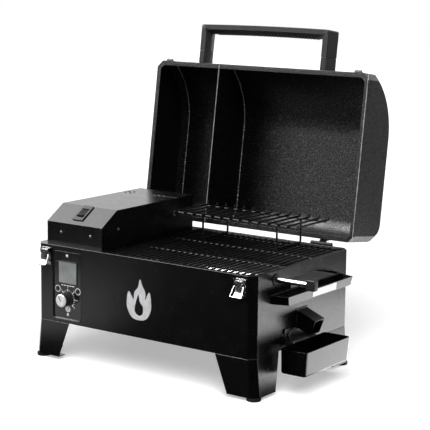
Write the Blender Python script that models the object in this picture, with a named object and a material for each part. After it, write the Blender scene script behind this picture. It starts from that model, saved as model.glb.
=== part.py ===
"""Tabletop pellet smoker grill with its lid open.

Metres, +X to the right seen from the front, +Y to the back, +Z up.  Heights marked
"over the rim" are counted from the top edge of the firebox.  The lid is modelled closed
and its hinge empty then turns it open.  The last step moves the whole grill so that the
centre of its bounding box stands over the origin.
"""

import math

import bmesh
import bpy
from mathutils import Euler, Matrix, Vector

# Driving dimensions of the firebox
BODY_WIDTH = 0.640
BODY_DEPTH = 0.410
BODY_HEIGHT = 0.188
CORNER_CHAMFER = 0.016
SHEET = 0.0015
GAP = 0.0003
RIM_LIP = 0.009

# Feet and legs
FOOT_HEIGHT = 0.008
FOOT_RADIUS = 0.017
LEG_HEIGHT = 0.088
LEG_SPLAY = 0.009
LEG_SHEET = 0.002
LEG_TOP_REACH = 0.088
LEG_BOTTOM_REACH = 0.064

HALF_WIDTH = BODY_WIDTH / 2
HALF_DEPTH = BODY_DEPTH / 2
FLOOR_Z = FOOT_HEIGHT + LEG_HEIGHT
RIM_Z = FLOOR_Z + BODY_HEIGHT

# Lid
LID_ANGLE = math.radians(98)
LID_SEAT = 0.001
LID_TOP = 0.142
LID_FRONT_RADIUS = 0.183
LID_FRONT_CENTRE = -0.050
LID_REAR_RADIUS = 0.044
LID_FLANGE = 0.012
PIN_SETBACK = 0.011
PIN_RADIUS = 0.0025
KNUCKLE_RADIUS = 0.005
HINGE_X = 0.233
HINGE_HALF_WIDTH = 0.029
PARTITION_X = -0.122

# Handle
HANDLE_HALF = 0.192
HANDLE_POST = 0.017
HANDLE_BAR_FRONT = 0.014
HANDLE_BAR_BACK = 0.024

# Hopper housing, heights over the rim
HOUSING_LEFT = -0.300
HOUSING_RIGHT = -0.128
HOUSING_FRONT = -0.186
HOUSING_BACK = 0.175
HOUSING_FRONT_TOP = 0.053
HOUSING_TOP = 0.089
SLANT_TOP_Y = -0.129
HOPPER_SEAM_Y = 0.105
LID_PLATE_FRONT = -0.127
SWITCH_X = -0.214

# Cooking chamber, heights over the rim
CHAMBER_LEFT = -0.118
DIVIDER_X = -0.1205
GRATE_TOP = -0.001
GRATE_THICKNESS = 0.006
LEDGE_WIDTH = 0.020
RACK_TOP = 0.070
RACK_BARS = (5, 18)
BROILER_TOP = -0.062
TRAY_LEFT = -0.080
TRAY_RIGHT = -0.138

# Pellet feed
AUGER_Z = RIM_Z - 0.140
AUGER_RADIUS = 0.018
TUBE_RADIUS = 0.023
POT_X = -0.030
POT_RADIUS = 0.038
BIN_X = (HOUSING_LEFT + HOUSING_RIGHT) / 2
FAN_Y = 0.140

# Control panel on the front wall, heights over the rim
PANEL_X = -0.222
PANEL_Z = -0.0955
PANEL_WIDTH = 0.0895
PANEL_HEIGHT = 0.167
PANEL_CORNER = 0.007
PANEL_RECESS = 0.0035
DIAL_Z = -0.128
DIAL_RADIUS = 0.017
BUTTON_X = (-0.2535, -0.1900)
BUTTON_Z = -0.106
BUTTON_RADIUS = 0.006
JACK_Z = -0.153

# Right side
ROD_Y = -0.119
ROD_Z = RIM_Z - 0.020
ROD_RADIUS = 0.006
ROD_REACH = 0.082
KNOB_SIZE = (0.024, 0.016, 0.025)
CHUTE_Y = -0.009
CHUTE_HALF_WIDTH = 0.0205
CHUTE_TOP = -0.1055
CHUTE_RUN = 0.051
CHUTE_DEPTH = 0.038
CHUTE_SLOPE = math.radians(22)
BUCKET_Y = -0.0205
BUCKET_LENGTH = 0.192
BUCKET_NEAR = 0.012
BUCKET_WIDTH = 0.071
BUCKET_TOP = -0.177
BUCKET_DEPTH = 0.0585
BUCKET_CORNER = 0.008
BUCKET_HEEL = 0.006
BUCKET_WALL = 0.0012
BUCKET_FRONT_DRAFT = 0.0045
BUCKET_END_DRAFT = 0.0015
EAR_OFFSETS = (-0.050, 0.050)
PEG_Z = RIM_Z - 0.157
SCOOP_Y = 0.009
SCOOP_REACH = 0.042
EXHAUST_OUTLINE = ((-0.056, -0.051), (0.148, -0.051), (0.148, -0.047), (0.054, -0.027), (-0.056, -0.027))

# Draw latches
LATCH_X = 0.285
LATCH_PIN_Y = -HALF_DEPTH - 0.0065
LATCH_PIN_Z = RIM_Z - 0.014

ROUND = 20


# ---------------------------------------------------------------- modelling helpers

def clear_scene():
    """Remove whatever the file holds."""
    for old in list(bpy.data.objects):
        bpy.data.objects.remove(old, do_unlink=True)


def make_material(name, colour, roughness, metallic=0.0):
    """Return a Principled material."""
    material = bpy.data.materials.new(name)
    material.use_nodes = True
    shader = material.node_tree.nodes["Principled BSDF"]
    shader.inputs["Base Color"].default_value = (*colour, 1.0)
    shader.inputs["Roughness"].default_value = roughness
    shader.inputs["Metallic"].default_value = metallic
    return material


def add_pivot(name, location, parent=None, turn=0.0):
    """Add an empty on a joint's axis; turn rotates it about X."""
    pivot = bpy.data.objects.new(name, None)
    bpy.context.collection.objects.link(pivot)
    pivot.parent = parent
    start = Vector(parent["place"]) if parent else Vector((0, 0, 0))
    pivot.location = Vector(location) - start
    pivot.rotation_euler = Euler((turn, 0, 0))
    pivot["place"] = tuple(location)
    return pivot


def add_object(name, data, material, pivot):
    """Link an object whose mesh is in grill coordinates and hang it on its pivot."""
    data.materials.append(material)
    part = bpy.data.objects.new(name, data)
    bpy.context.collection.objects.link(part)
    part.parent = pivot
    part.location = -Vector(pivot["place"])
    return part


def loft(name, loops, material, pivot, closed=False):
    """Bridge loops of equal length; cap both ends, or join the last loop to the first."""
    mesh = bmesh.new()
    rows = [[mesh.verts.new(point) for point in loop] for loop in loops]
    if closed:
        rows.append(rows[0])
    for lower, upper in zip(rows, rows[1:]):
        for index, corner in enumerate(lower):
            follower = (index + 1) % len(lower)
            mesh.faces.new((corner, lower[follower], upper[follower], upper[index]))
    if not closed:
        mesh.faces.new(reversed(rows[0]))
        mesh.faces.new(rows[-1])
    bmesh.ops.recalc_face_normals(mesh, faces=mesh.faces)
    data = bpy.data.meshes.new(name)
    mesh.to_mesh(data)
    mesh.free()
    return add_object(name, data, material, pivot)


def box(name, low, high, material, pivot):
    """Add a box between two corners."""
    loops = [[(low[0], low[1], z), (high[0], low[1], z), (high[0], high[1], z), (low[0], high[1], z)]
             for z in (low[2], high[2])]
    return loft(name, loops, material, pivot)


def circle(centre, axis, radius, sides=ROUND):
    """Return the points of a circle about an axis named x, y or z."""
    points = []
    for step in range(sides):
        angle = 2 * math.pi * step / sides
        across, along = radius * math.cos(angle), radius * math.sin(angle)
        offset = {"x": (0, across, along), "y": (along, 0, across), "z": (across, along, 0)}[axis]
        points.append(tuple(Vector(centre) + Vector(offset)))
    return points


def turned(name, centre, axis, profile, material, pivot, sides=ROUND, closed=False):
    """Turn a profile of (radius, distance along the axis) pairs."""
    unit = {"x": Vector((1, 0, 0)), "y": Vector((0, 1, 0)), "z": Vector((0, 0, 1))}[axis]
    loops = [circle(Vector(centre) + unit * along, axis, radius, sides) for radius, along in profile]
    part = loft(name, loops, material, pivot, closed)
    part.data.shade_smooth()
    part.data.set_sharp_from_angle(angle=math.radians(40))
    return part


def rod(name, start, end, axis, radius, material, pivot, sides=ROUND):
    """Add a plain cylinder from start to end along one axis."""
    length = (Vector(end) - Vector(start)).length
    return turned(name, start, axis, [(radius, 0), (radius, length)], material, pivot, sides)


def prism_x(name, outline, start, end, material, pivot):
    """Extrude an outline of (y, z) points along X."""
    loops = [[(x, y, z) for y, z in outline] for x in (start, end)]
    return loft(name, loops, material, pivot)


def cut(target, cutter):
    """Subtract a cutter, which is then left out of the model."""
    combine(target, cutter, "DIFFERENCE")


def join(target, addition):
    """Add a piece that is welded to the target."""
    combine(target, addition, "UNION")


def combine(target, other, operation):
    """Put a Boolean modifier on the target and hide the other shape."""
    modifier = target.modifiers.new(other.name, "BOOLEAN")
    modifier.operation = operation
    modifier.solver = "EXACT"
    modifier.object = other
    other.hide_render = True
    other.display_type = "WIRE"


def soften(target, width, segments=2):
    """Round the edges of a moulded or pressed piece."""
    modifier = target.modifiers.new("soft_edges", "BEVEL")
    modifier.width = width
    modifier.segments = segments
    modifier.limit_method = "ANGLE"
    modifier.angle_limit = math.radians(40)


def rounded_rectangle(half_width, half_height, corner, steps=4):
    """Return (across, up) points of a rectangle with round corners."""
    points = []
    centres = ((1, 1), (-1, 1), (-1, -1), (1, -1))
    for quarter, (side, level) in enumerate(centres):
        for step in range(steps + 1):
            angle = math.pi / 2 * (quarter + step / steps)
            points.append((side * (half_width - corner) + corner * math.cos(angle),
                           level * (half_height - corner) + corner * math.sin(angle)))
    return points


def rounded_path(points, radius, steps=4):
    """Round the inner corners of a polyline."""
    corners = [Vector(point) for point in points]
    path = [corners[0]]
    for before, corner, after in zip(corners, corners[1:], corners[2:]):
        start = corner + (before - corner).normalized() * radius
        end = corner + (after - corner).normalized() * radius
        for step in range(steps + 1):
            share = step / steps
            path.append(start * (1 - share) ** 2 + corner * 2 * share * (1 - share) + end * share ** 2)
    path.append(corners[-1])
    return path


def wire(name, path, radius, material, pivot):
    """Add a bent wire as a bevelled curve with filled caps."""
    curve = bpy.data.curves.new(name, "CURVE")
    curve.dimensions = "3D"
    curve.bevel_depth = radius
    curve.bevel_resolution = 2
    curve.use_fill_caps = True
    spline = curve.splines.new("POLY")
    spline.points.add(len(path) - 1)
    for point, place in zip(spline.points, path):
        point.co = (*place, 1.0)
    return add_object(name, curve, material, pivot)


def body_plan(inset, z):
    """Return the chamfered outline of the firebox, moved inwards by inset."""
    width = HALF_WIDTH - inset
    depth = HALF_DEPTH - inset
    chamfer = CORNER_CHAMFER - inset * (2 - math.sqrt(2))
    return [(-width + chamfer, -depth, z), (width - chamfer, -depth, z),
            (width, -depth + chamfer, z), (width, depth - chamfer, z),
            (width - chamfer, depth, z), (-width + chamfer, depth, z),
            (-width, depth - chamfer, z), (-width, -depth + chamfer, z)]


# ---------------------------------------------------------------- firebox, legs and feet

def build_firebox(paint, root):
    """Welded firebox: walls, floor and top lip with all its cut-outs."""
    shell = loft("firebox_shell", [body_plan(0, FLOOR_Z), body_plan(0, RIM_Z)], paint, root)
    cavity = [body_plan(SHEET, FLOOR_Z + SHEET), body_plan(SHEET, RIM_Z - SHEET)]
    cut(shell, loft("cutter_cavity", cavity, paint, root))
    lip_plan = body_plan(RIM_LIP, RIM_Z - 0.01)
    opening = [(CHAMBER_LEFT, lip_plan[0][1]), lip_plan[1][:2], lip_plan[2][:2],
               lip_plan[3][:2], lip_plan[4][:2], (CHAMBER_LEFT, lip_plan[4][1])]
    loops = [[(x, y, z) for x, y in opening] for z in (RIM_Z - 0.01, RIM_Z + 0.01)]
    cut(shell, loft("cutter_cooking_opening", loops, paint, root))
    margin = 0.003
    cut(shell, box("cutter_hopper_opening",
                   (HOUSING_LEFT + margin, HOUSING_FRONT + margin, RIM_Z - 0.01),
                   (HOUSING_RIGHT - margin, HOUSING_BACK - margin, RIM_Z + 0.01), paint, root))
    cut_panel_opening(shell, paint, root)
    cut_right_wall(shell, paint, root)
    cut_back_wall(shell, paint, root)


def panel_loop(inset, y, corner=PANEL_CORNER):
    """Return the control panel's rounded outline at depth y."""
    outline = rounded_rectangle(PANEL_WIDTH / 2 - inset, PANEL_HEIGHT / 2 - inset, corner)
    return [(PANEL_X + x, y, RIM_Z + PANEL_Z + z) for x, z in outline]


def cut_panel_opening(shell, paint, root):
    """Cut the rounded opening for the control panel."""
    loops = [panel_loop(0, -HALF_DEPTH - 0.01), panel_loop(0, -HALF_DEPTH + 0.01)]
    cut(shell, loft("cutter_panel", loops, paint, root))


def cut_right_wall(shell, paint, root):
    """Cut the exhaust slot, the rod hole and the grease outlet."""
    low_x, high_x = HALF_WIDTH - 0.01, HALF_WIDTH + 0.01
    slot = [(y, RIM_Z + z) for y, z in EXHAUST_OUTLINE]
    cut(shell, prism_x("cutter_exhaust", slot, low_x, high_x, paint, root))
    cut(shell, rod("cutter_rod_hole", (low_x, ROD_Y, ROD_Z), (high_x, ROD_Y, ROD_Z),
                   "x", ROD_RADIUS + 0.003, paint, root))
    cut(shell, box("cutter_grease_outlet",
                   (low_x, CHUTE_Y - CHUTE_HALF_WIDTH + 0.002, RIM_Z + CHUTE_TOP - 0.038),
                   (high_x, CHUTE_Y + CHUTE_HALF_WIDTH - 0.002, RIM_Z + CHUTE_TOP - 0.002),
                   paint, root))


def cut_back_wall(shell, paint, root):
    """Cut the fan's air slots and the power inlet's hole."""
    for row in range(5):
        z = AUGER_Z - 0.024 + row * 0.012
        cut(shell, box(f"cutter_air_slot_{row}", (BIN_X - 0.026, HALF_DEPTH - 0.01, z),
                       (BIN_X + 0.026, HALF_DEPTH + 0.01, z + 0.005), paint, root))
    cut(shell, box("cutter_inlet", (-0.2945, HALF_DEPTH - 0.01, FLOOR_Z + 0.0195),
                   (-0.2655, HALF_DEPTH + 0.01, FLOOR_Z + 0.0405), paint, root))


def leg_loop(reach_x, reach_y, splay, thickness, z, side, end):
    """Return one level of a corner leg, mirrored to its corner by side and end."""
    edge_x = HALF_WIDTH + splay
    edge_y = HALF_DEPTH
    slack = thickness * (math.sqrt(2) - 1)
    corner_x = edge_x - CORNER_CHAMFER
    corner_y = edge_y - CORNER_CHAMFER
    outline = [(corner_x - reach_x, edge_y), (corner_x, edge_y), (edge_x, corner_y),
               (edge_x, corner_y - reach_y), (edge_x - thickness, corner_y - reach_y),
               (edge_x - thickness, corner_y - slack), (corner_x - slack, edge_y - thickness),
               (corner_x - reach_x, edge_y - thickness)]
    return [(side * x, end * y, z) for x, y in outline]


def build_legs(paint, rubber, root):
    """Four folded corner legs with an inward foot flange, each on a rubber foot."""
    flange_width = 0.024
    flange_z = FOOT_HEIGHT + 0.002
    for end, end_name in ((-1, "front"), (1, "rear")):
        for side, side_name in ((-1, "left"), (1, "right")):
            low = (LEG_BOTTOM_REACH, LEG_BOTTOM_REACH, LEG_SPLAY)
            top = (LEG_TOP_REACH, LEG_TOP_REACH, 0.0)
            loops = [leg_loop(*low, flange_width, FOOT_HEIGHT, side, end),
                     leg_loop(*low, flange_width, flange_z, side, end),
                     leg_loop(*low, LEG_SHEET, flange_z, side, end),
                     leg_loop(*top, LEG_SHEET, FLOOR_Z - GAP, side, end)]
            loft(f"leg_{end_name}_{side_name}", loops, paint, root)
            foot_x = side * (HALF_WIDTH + LEG_SPLAY - FOOT_RADIUS)
            foot_y = end * (HALF_DEPTH - FOOT_RADIUS)
            profile = [(FOOT_RADIUS - 0.001, 0), (FOOT_RADIUS, 0.002), (FOOT_RADIUS, FOOT_HEIGHT - GAP)]
            turned(f"foot_{end_name}_{side_name}", (foot_x, foot_y, 0), "z", profile, rubber, root)


def build_divider(paint, root):
    """Heat wall between the hopper bay and the cooking chamber."""
    reach = HALF_DEPTH - SHEET - GAP
    divider = box("firebox_divider", (DIVIDER_X - SHEET, -reach, FLOOR_Z + SHEET + GAP),
                  (DIVIDER_X, reach, RIM_Z - SHEET - GAP), paint, root)
    cut(divider, rod("cutter_divider_tube", (DIVIDER_X - 0.01, 0, AUGER_Z), (DIVIDER_X + 0.01, 0, AUGER_Z),
                     "x", TUBE_RADIUS + GAP, paint, root))
    cut(divider, rod("cutter_divider_igniter", (DIVIDER_X - 0.01, -0.022, AUGER_Z - 0.029),
                     (DIVIDER_X + 0.01, -0.022, AUGER_Z - 0.029), "x", 0.006, paint, root))


# ---------------------------------------------------------------- hopper and its housing

def housing_profile(inset, floor):
    """Return the housing's side profile as (y, z), moved inwards by inset."""
    slant = math.atan2(HOUSING_TOP - HOUSING_FRONT_TOP, SLANT_TOP_Y - HOUSING_FRONT)
    low_shift = inset * math.tan((math.pi / 2 - slant) / 2)
    top_shift = inset * math.tan(slant / 2)
    return [(HOUSING_FRONT + inset, floor),
            (HOUSING_FRONT + inset, RIM_Z + HOUSING_FRONT_TOP - low_shift),
            (SLANT_TOP_Y + top_shift, RIM_Z + HOUSING_TOP - inset),
            (HOUSING_BACK - inset, RIM_Z + HOUSING_TOP - inset),
            (HOUSING_BACK - inset, floor)]


def build_housing(paint, root):
    """Sheet cover over the hopper with a rebate for the hopper lid."""
    base = RIM_Z + GAP
    recess = RIM_Z + HOUSING_TOP - SHEET - GAP
    housing = prism_x("hopper_housing", housing_profile(0, base), HOUSING_LEFT, HOUSING_RIGHT, paint, root)
    wall = 0.002
    inner = housing_profile(wall, base - 0.01)
    inner[2] = (SLANT_TOP_Y, recess - wall)
    inner[3] = (HOUSING_BACK - wall, recess - wall)
    cut(housing, prism_x("cutter_housing", inner, HOUSING_LEFT + wall, HOUSING_RIGHT - wall, paint, root))
    cut(housing, box("cutter_lid_rebate", (HOUSING_LEFT - 0.01, LID_PLATE_FRONT - GAP, recess),
                     (HOUSING_RIGHT + 0.01, HOPPER_SEAM_Y + GAP, RIM_Z + 0.12), paint, root))
    cut(housing, box("cutter_pellet_mouth", (HOUSING_LEFT + 0.012, LID_PLATE_FRONT + 0.012, recess - 0.02),
                     (HOUSING_RIGHT - 0.012, HOPPER_SEAM_Y - 0.010, recess + 0.02), paint, root))
    hole = switch_block("cutter_switch_hole", 0.012, 0.0165, -0.012, 0.004, paint, root)
    cut(housing, hole)


def build_hopper_bin(steel, root):
    """Pellet bin: straight walls, then a funnel down to the auger tube."""
    wall = 0.0012
    top = RIM_Z + HOUSING_TOP - 0.0060
    shoulder = RIM_Z - 0.020
    outlet = AUGER_Z + TUBE_RADIUS + GAP
    levels = ((top, 0.074, -0.117, 0.097), (shoulder, 0.074, -0.117, 0.097), (outlet, 0.017, -0.012, 0.012))

    def ring(level, inset):
        z, half, front, back = level
        return [(BIN_X - half + inset, front + inset, z), (BIN_X + half - inset, front + inset, z),
                (BIN_X + half - inset, back - inset, z), (BIN_X - half + inset, back - inset, z)]

    loops = [ring(level, 0) for level in levels] + [ring(level, wall) for level in reversed(levels)]
    loft("hopper_bin", loops, steel, root, closed=True)


def build_hopper_lid(paint, root):
    """Flat hopper lid, hinged along the seam at its back."""
    pivot = add_pivot("hopper_lid_axis", (BIN_X, HOPPER_SEAM_Y, RIM_Z + HOUSING_TOP), root)
    box("hopper_lid", (HOUSING_LEFT, LID_PLATE_FRONT, RIM_Z + HOUSING_TOP - SHEET),
        (HOUSING_RIGHT, HOPPER_SEAM_Y, RIM_Z + HOUSING_TOP), paint, pivot)


def slant_frame():
    """Return the matrix from switch coordinates (across, up the slant, outwards) to the grill."""
    rise = HOUSING_TOP - HOUSING_FRONT_TOP
    run = SLANT_TOP_Y - HOUSING_FRONT
    slope = math.atan2(rise, run)
    share = 0.60
    centre = Vector((SWITCH_X, HOUSING_FRONT + share * run, RIM_Z + HOUSING_FRONT_TOP + share * rise))
    return Matrix.Translation(centre) @ Matrix.Rotation(slope, 4, "X")


def switch_block(name, half_width, half_length, low, high, material, pivot):
    """Add a block on the slanted face, from low to high along its normal."""
    frame = slant_frame()
    corners = ((-1, -1), (1, -1), (1, 1), (-1, 1))
    loops = [[tuple(frame @ Vector((side * half_width, end * half_length, level))) for side, end in corners]
             for level in (low, high)]
    return loft(name, loops, material, pivot)


def build_switch(plastic, root):
    """Main power rocker in its bezel on the slanted face."""
    bezel = switch_block("switch_bezel", 0.0155, 0.026, GAP, 0.0030, plastic, root)
    cut(bezel, switch_block("cutter_bezel", 0.0100, 0.0150, -0.01, 0.01, plastic, root))
    frame = slant_frame()
    pivot = add_pivot("rocker_axis", tuple(frame.translation), root)
    outline = ((-0.0125, -0.004), (0.0125, -0.004), (0.0130, 0.0020), (0.0, 0.0030), (-0.0130, 0.0062))
    loops = [[tuple(frame @ Vector((x, along, out))) for along, out in outline] for x in (-0.0090, 0.0090)]
    loft("power_rocker", loops, plastic, pivot)


def build_feed(steel, dark, root):
    """Auger in its tube, gear motor, fan, burn pot and igniter."""
    tube_start, tube_end = -0.262, POT_X - POT_RADIUS - 0.002
    inner = TUBE_RADIUS - 0.002
    tube = turned("auger_tube", (tube_start, 0, AUGER_Z), "x",
                  [(TUBE_RADIUS, 0), (TUBE_RADIUS, tube_end - tube_start),
                   (inner, tube_end - tube_start), (inner, 0)], steel, root, closed=True)
    cut(tube, box("cutter_feed_slot", (BIN_X - 0.015, -0.010, AUGER_Z),
                  (BIN_X + 0.015, 0.010, AUGER_Z + 0.03), steel, root))
    build_auger(steel, root, tube_start + 0.002, tube_end - 0.004)
    motor = box("auger_motor", (-0.3165, -0.031, AUGER_Z - 0.031), (tube_start - GAP, 0.031, AUGER_Z + 0.031),
                dark, root)
    soften(motor, 0.003)
    build_fan(dark, steel, root)
    pot_low, pot_high = FLOOR_Z + 0.006, AUGER_Z + 0.026
    pot = turned("burn_pot", (POT_X, 0, pot_low), "z",
                 [(POT_RADIUS, 0), (POT_RADIUS, pot_high - pot_low), (POT_RADIUS - 0.002, pot_high - pot_low),
                  (POT_RADIUS - 0.002, 0.002)], steel, root)
    cut(pot, rod("cutter_pot_mouth", (POT_X - 0.05, 0, AUGER_Z), (POT_X - 0.01, 0, AUGER_Z), "x", inner,
                 steel, root))
    cut(pot, rod("cutter_pot_igniter", (POT_X - 0.05, -0.022, AUGER_Z - 0.029),
                 (POT_X - 0.01, -0.022, AUGER_Z - 0.029), "x", 0.006, steel, root))
    rod("igniter", (-0.150, -0.022, AUGER_Z - 0.029), (POT_X - 0.024, -0.022, AUGER_Z - 0.029), "x", 0.0047,
        steel, root, 12)


def build_auger(steel, root, start, end):
    """Screw that feeds pellets: a shaft with one twisted flight."""
    pivot = add_pivot("auger_axis", (start, 0, AUGER_Z), root)
    pitch, shaft = 0.036, 0.005
    steps = 46
    section = [(shaft, 35), (shaft, 80), (shaft, 125), (shaft, 180), (shaft, 235), (shaft, 280), (shaft, 325),
               (AUGER_RADIUS, -9), (AUGER_RADIUS, 9)]
    loops = []
    for step in range(steps + 1):
        x = start + (end - start) * step / steps
        turn = 2 * math.pi * (x - start) / pitch
        loops.append([(x, radius * math.cos(turn + math.radians(angle)),
                       AUGER_Z + radius * math.sin(turn + math.radians(angle))) for radius, angle in section])
    loft("auger_screw", loops, steel, pivot)


def build_fan(dark, steel, root):
    """Combustion fan: scroll housing open to the back wall, with its impeller."""
    casing_radius, wall, depth = 0.044, 0.002, 0.036
    front = FAN_Y - depth / 2
    turned("fan_housing", (BIN_X, front, AUGER_Z + 0.004), "y",
           [(casing_radius, 0), (casing_radius, depth), (0.030, depth), (0.030, depth - wall),
            (casing_radius - wall, depth - wall), (casing_radius - wall, wall)], dark, root)
    pivot = add_pivot("fan_axis", (BIN_X, FAN_Y, AUGER_Z + 0.004), root)
    blades, hub, tip = 9, 0.012, 0.036
    outline = []
    for blade in range(blades):
        base = 2 * math.pi * blade / blades
        for radius, offset in ((hub, -0.22), (tip, 0.02), (tip, 0.10), (hub, 0.08)):
            outline.append((radius * math.sin(base + offset), radius * math.cos(base + offset)))
    loops = [[(BIN_X + x, y, AUGER_Z + 0.004 + z) for x, z in outline]
             for y in (front + 0.006, front + 0.028)]
    loft("fan_impeller", loops, steel, pivot)


# ---------------------------------------------------------------- cooking chamber

def build_ledge(paint, root):
    """Angle ledge around the chamber that the cooking grate rests on."""
    top = RIM_Z + GRATE_TOP - GRATE_THICKNESS - GAP
    outer = SHEET + GAP
    plan = body_plan(outer, 0)
    left = DIVIDER_X + GAP
    outline = [(left, plan[0][1]), plan[1][:2], plan[2][:2], plan[3][:2], plan[4][:2], (left, plan[4][1])]
    inner_plan = body_plan(outer + LEDGE_WIDTH, 0)
    inner_left = left + LEDGE_WIDTH
    inner = [(inner_left, inner_plan[0][1]), inner_plan[1][:2], inner_plan[2][:2], inner_plan[3][:2],
             inner_plan[4][:2], (inner_left, inner_plan[4][1])]
    low, high = top - SHEET, top
    loops = [[(x, y, low) for x, y in outline], [(x, y, high) for x, y in outline],
             [(x, y, high) for x, y in inner], [(x, y, low) for x, y in inner]]
    loft("grate_ledge", loops, paint, root, closed=True)


def barred_panel(name, low, high, border, bars, bar_width, material, pivot):
    """Add a flat panel with slots between bars that run along Y."""
    panel = box(name, low, high, material, pivot)
    clear_width = (high[0] - low[0] - 2 * border - bars * bar_width) / (bars + 1)
    data = bmesh.new()
    for slot in range(bars + 1):
        x = low[0] + border + slot * (clear_width + bar_width)
        corners = [(x, low[1] + border), (x + clear_width, low[1] + border),
                   (x + clear_width, high[1] - border), (x, high[1] - border)]
        rows = [[data.verts.new((cx, cy, z)) for cx, cy in corners] for z in (low[2] - 0.01, high[2] + 0.01)]
        for index in range(4):
            follower = (index + 1) % 4
            data.faces.new((rows[0][index], rows[0][follower], rows[1][follower], rows[1][index]))
        data.faces.new(reversed(rows[0]))
        data.faces.new(rows[1])
    mesh = bpy.data.meshes.new("cutter_" + name)
    data.to_mesh(mesh)
    data.free()
    cut(panel, add_object("cutter_" + name, mesh, material, pivot))
    return panel


def build_grates(iron, root):
    """Lift-out cooking grate, and the warming rack that stands on it."""
    clearance = 0.002
    low = (CHAMBER_LEFT + clearance, -HALF_DEPTH + RIM_LIP + clearance, RIM_Z + GRATE_TOP - GRATE_THICKNESS)
    high = (HALF_WIDTH - RIM_LIP - clearance, HALF_DEPTH - RIM_LIP - clearance, RIM_Z + GRATE_TOP)
    border, bars, bar_width = 0.006, 24, 0.005
    pitch = (high[0] - low[0] - 2 * border + bar_width) / (bars + 1)
    corner_cut = 0.021
    grate_axis = add_pivot("grate_axis", (0, 0, RIM_Z), root)
    grate = barred_panel("cooking_grate", low, high, border, bars, bar_width, iron, grate_axis)
    for end in (-1, 1):
        loops = [[(high[0] + 0.01, end * (high[1] + 0.01), z),
                  (high[0] - corner_cut, end * (high[1] + 0.01), z),
                  (high[0] + 0.01, end * (high[1] - corner_cut), z)]
                 for z in (low[2] - 0.01, high[2] + 0.01)]
        cut(grate, loft(f"cutter_grate_corner_{end}", loops, iron, grate_axis))
    rack_axis = add_pivot("rack_axis", (0, 0, RIM_Z), grate_axis)
    rack_z = RIM_Z + RACK_TOP
    rack = barred_panel("warming_rack", (-0.090, 0.042, rack_z - 0.005), (0.270, 0.191, rack_z),
                        border - 0.001, 13, bar_width, iron, rack_axis)
    foot_z = RIM_Z + GRATE_TOP + GAP
    leg_x = [low[0] + border + pitch * bar - bar_width / 2 for bar in RACK_BARS]
    for index, (x, y) in enumerate([(x, y) for x in leg_x for y in (0.080, 0.1880)]):
        leg = box(f"weld_rack_leg_{index}", (x - 0.0025, y - 0.0025, foot_z),
                  (x + 0.0025, y + 0.0025, rack_z - 0.001), iron, rack_axis)
        join(rack, leg)
    bar = box("weld_rack_bar", (-0.0888, 0.0775, rack_z - 0.0045), (0.2688, 0.0825, rack_z - 0.0012), iron,
              rack_axis)
    join(rack, bar)


def build_broiler(steel, chrome, plastic, root):
    """Heat plate with a sliding cover, its rod and knob, and the sloped grease tray."""
    z = RIM_Z + BROILER_TOP
    plate = box("broiler_plate", (-0.112, -0.186, z - 0.002), (0.296, 0.186, z), steel, root)
    for slot in range(4):
        x = -0.056 + slot * 0.016
        cut(plate, box(f"cutter_broiler_{slot}", (x, -0.050, z - 0.01), (x + 0.008, 0.050, z + 0.01),
                       steel, root))
    tray_section = [(-0.188, 0.0), (0.188, 0.0), (0.188, 0.012), (0.1865, 0.012), (0.1865, 0.0015),
                    (-0.1865, 0.0015), (-0.1865, 0.012), (-0.188, 0.012)]
    ends = ((DIVIDER_X + 0.002, RIM_Z + TRAY_LEFT), (HALF_WIDTH - 0.003, RIM_Z + TRAY_RIGHT))
    loops = [[(x, y, base + rise) for y, rise in tray_section] for x, base in ends]
    tray = loft("grease_tray", loops, steel, root)
    cut(tray, box("cutter_tray", (POT_X - 0.042, -0.042, FLOOR_Z), (POT_X + 0.042, 0.042, RIM_Z),
                  steel, root))
    slide = add_pivot("broiler_axis", (HALF_WIDTH, ROD_Y, ROD_Z), root)
    slider = box("broiler_slider", (0.002, -0.130, z + GAP), (0.130, 0.060, z + GAP + SHEET), steel, slide)
    join(slider, box("weld_slider_tab", (0.127, -0.129, z + 0.0005), (0.129, -0.108, ROD_Z + 0.010),
                     steel, slide))
    rod_end = HALF_WIDTH + ROD_REACH
    join(slider, rod("weld_slider_rod", (0.128, ROD_Y, ROD_Z), (rod_end, ROD_Y, ROD_Z), "x", ROD_RADIUS,
                     chrome, slide, 16))
    length, width, height = KNOB_SIZE
    knob = box("broiler_knob", (rod_end + GAP, ROD_Y - width / 2, ROD_Z - height / 2),
               (rod_end + length, ROD_Y + width / 2, ROD_Z + height / 2), plastic, slide)
    soften(knob, 0.003, 2)


def build_probe(steel, root):
    """Chamber temperature probe on the divider."""
    turned("temperature_probe", (DIVIDER_X + GAP, -0.060, RIM_Z - 0.036), "x",
           [(0.008, 0), (0.008, 0.006), (0.003, 0.006), (0.003, 0.070)], steel, root, 12)


# ---------------------------------------------------------------- control panel

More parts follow.
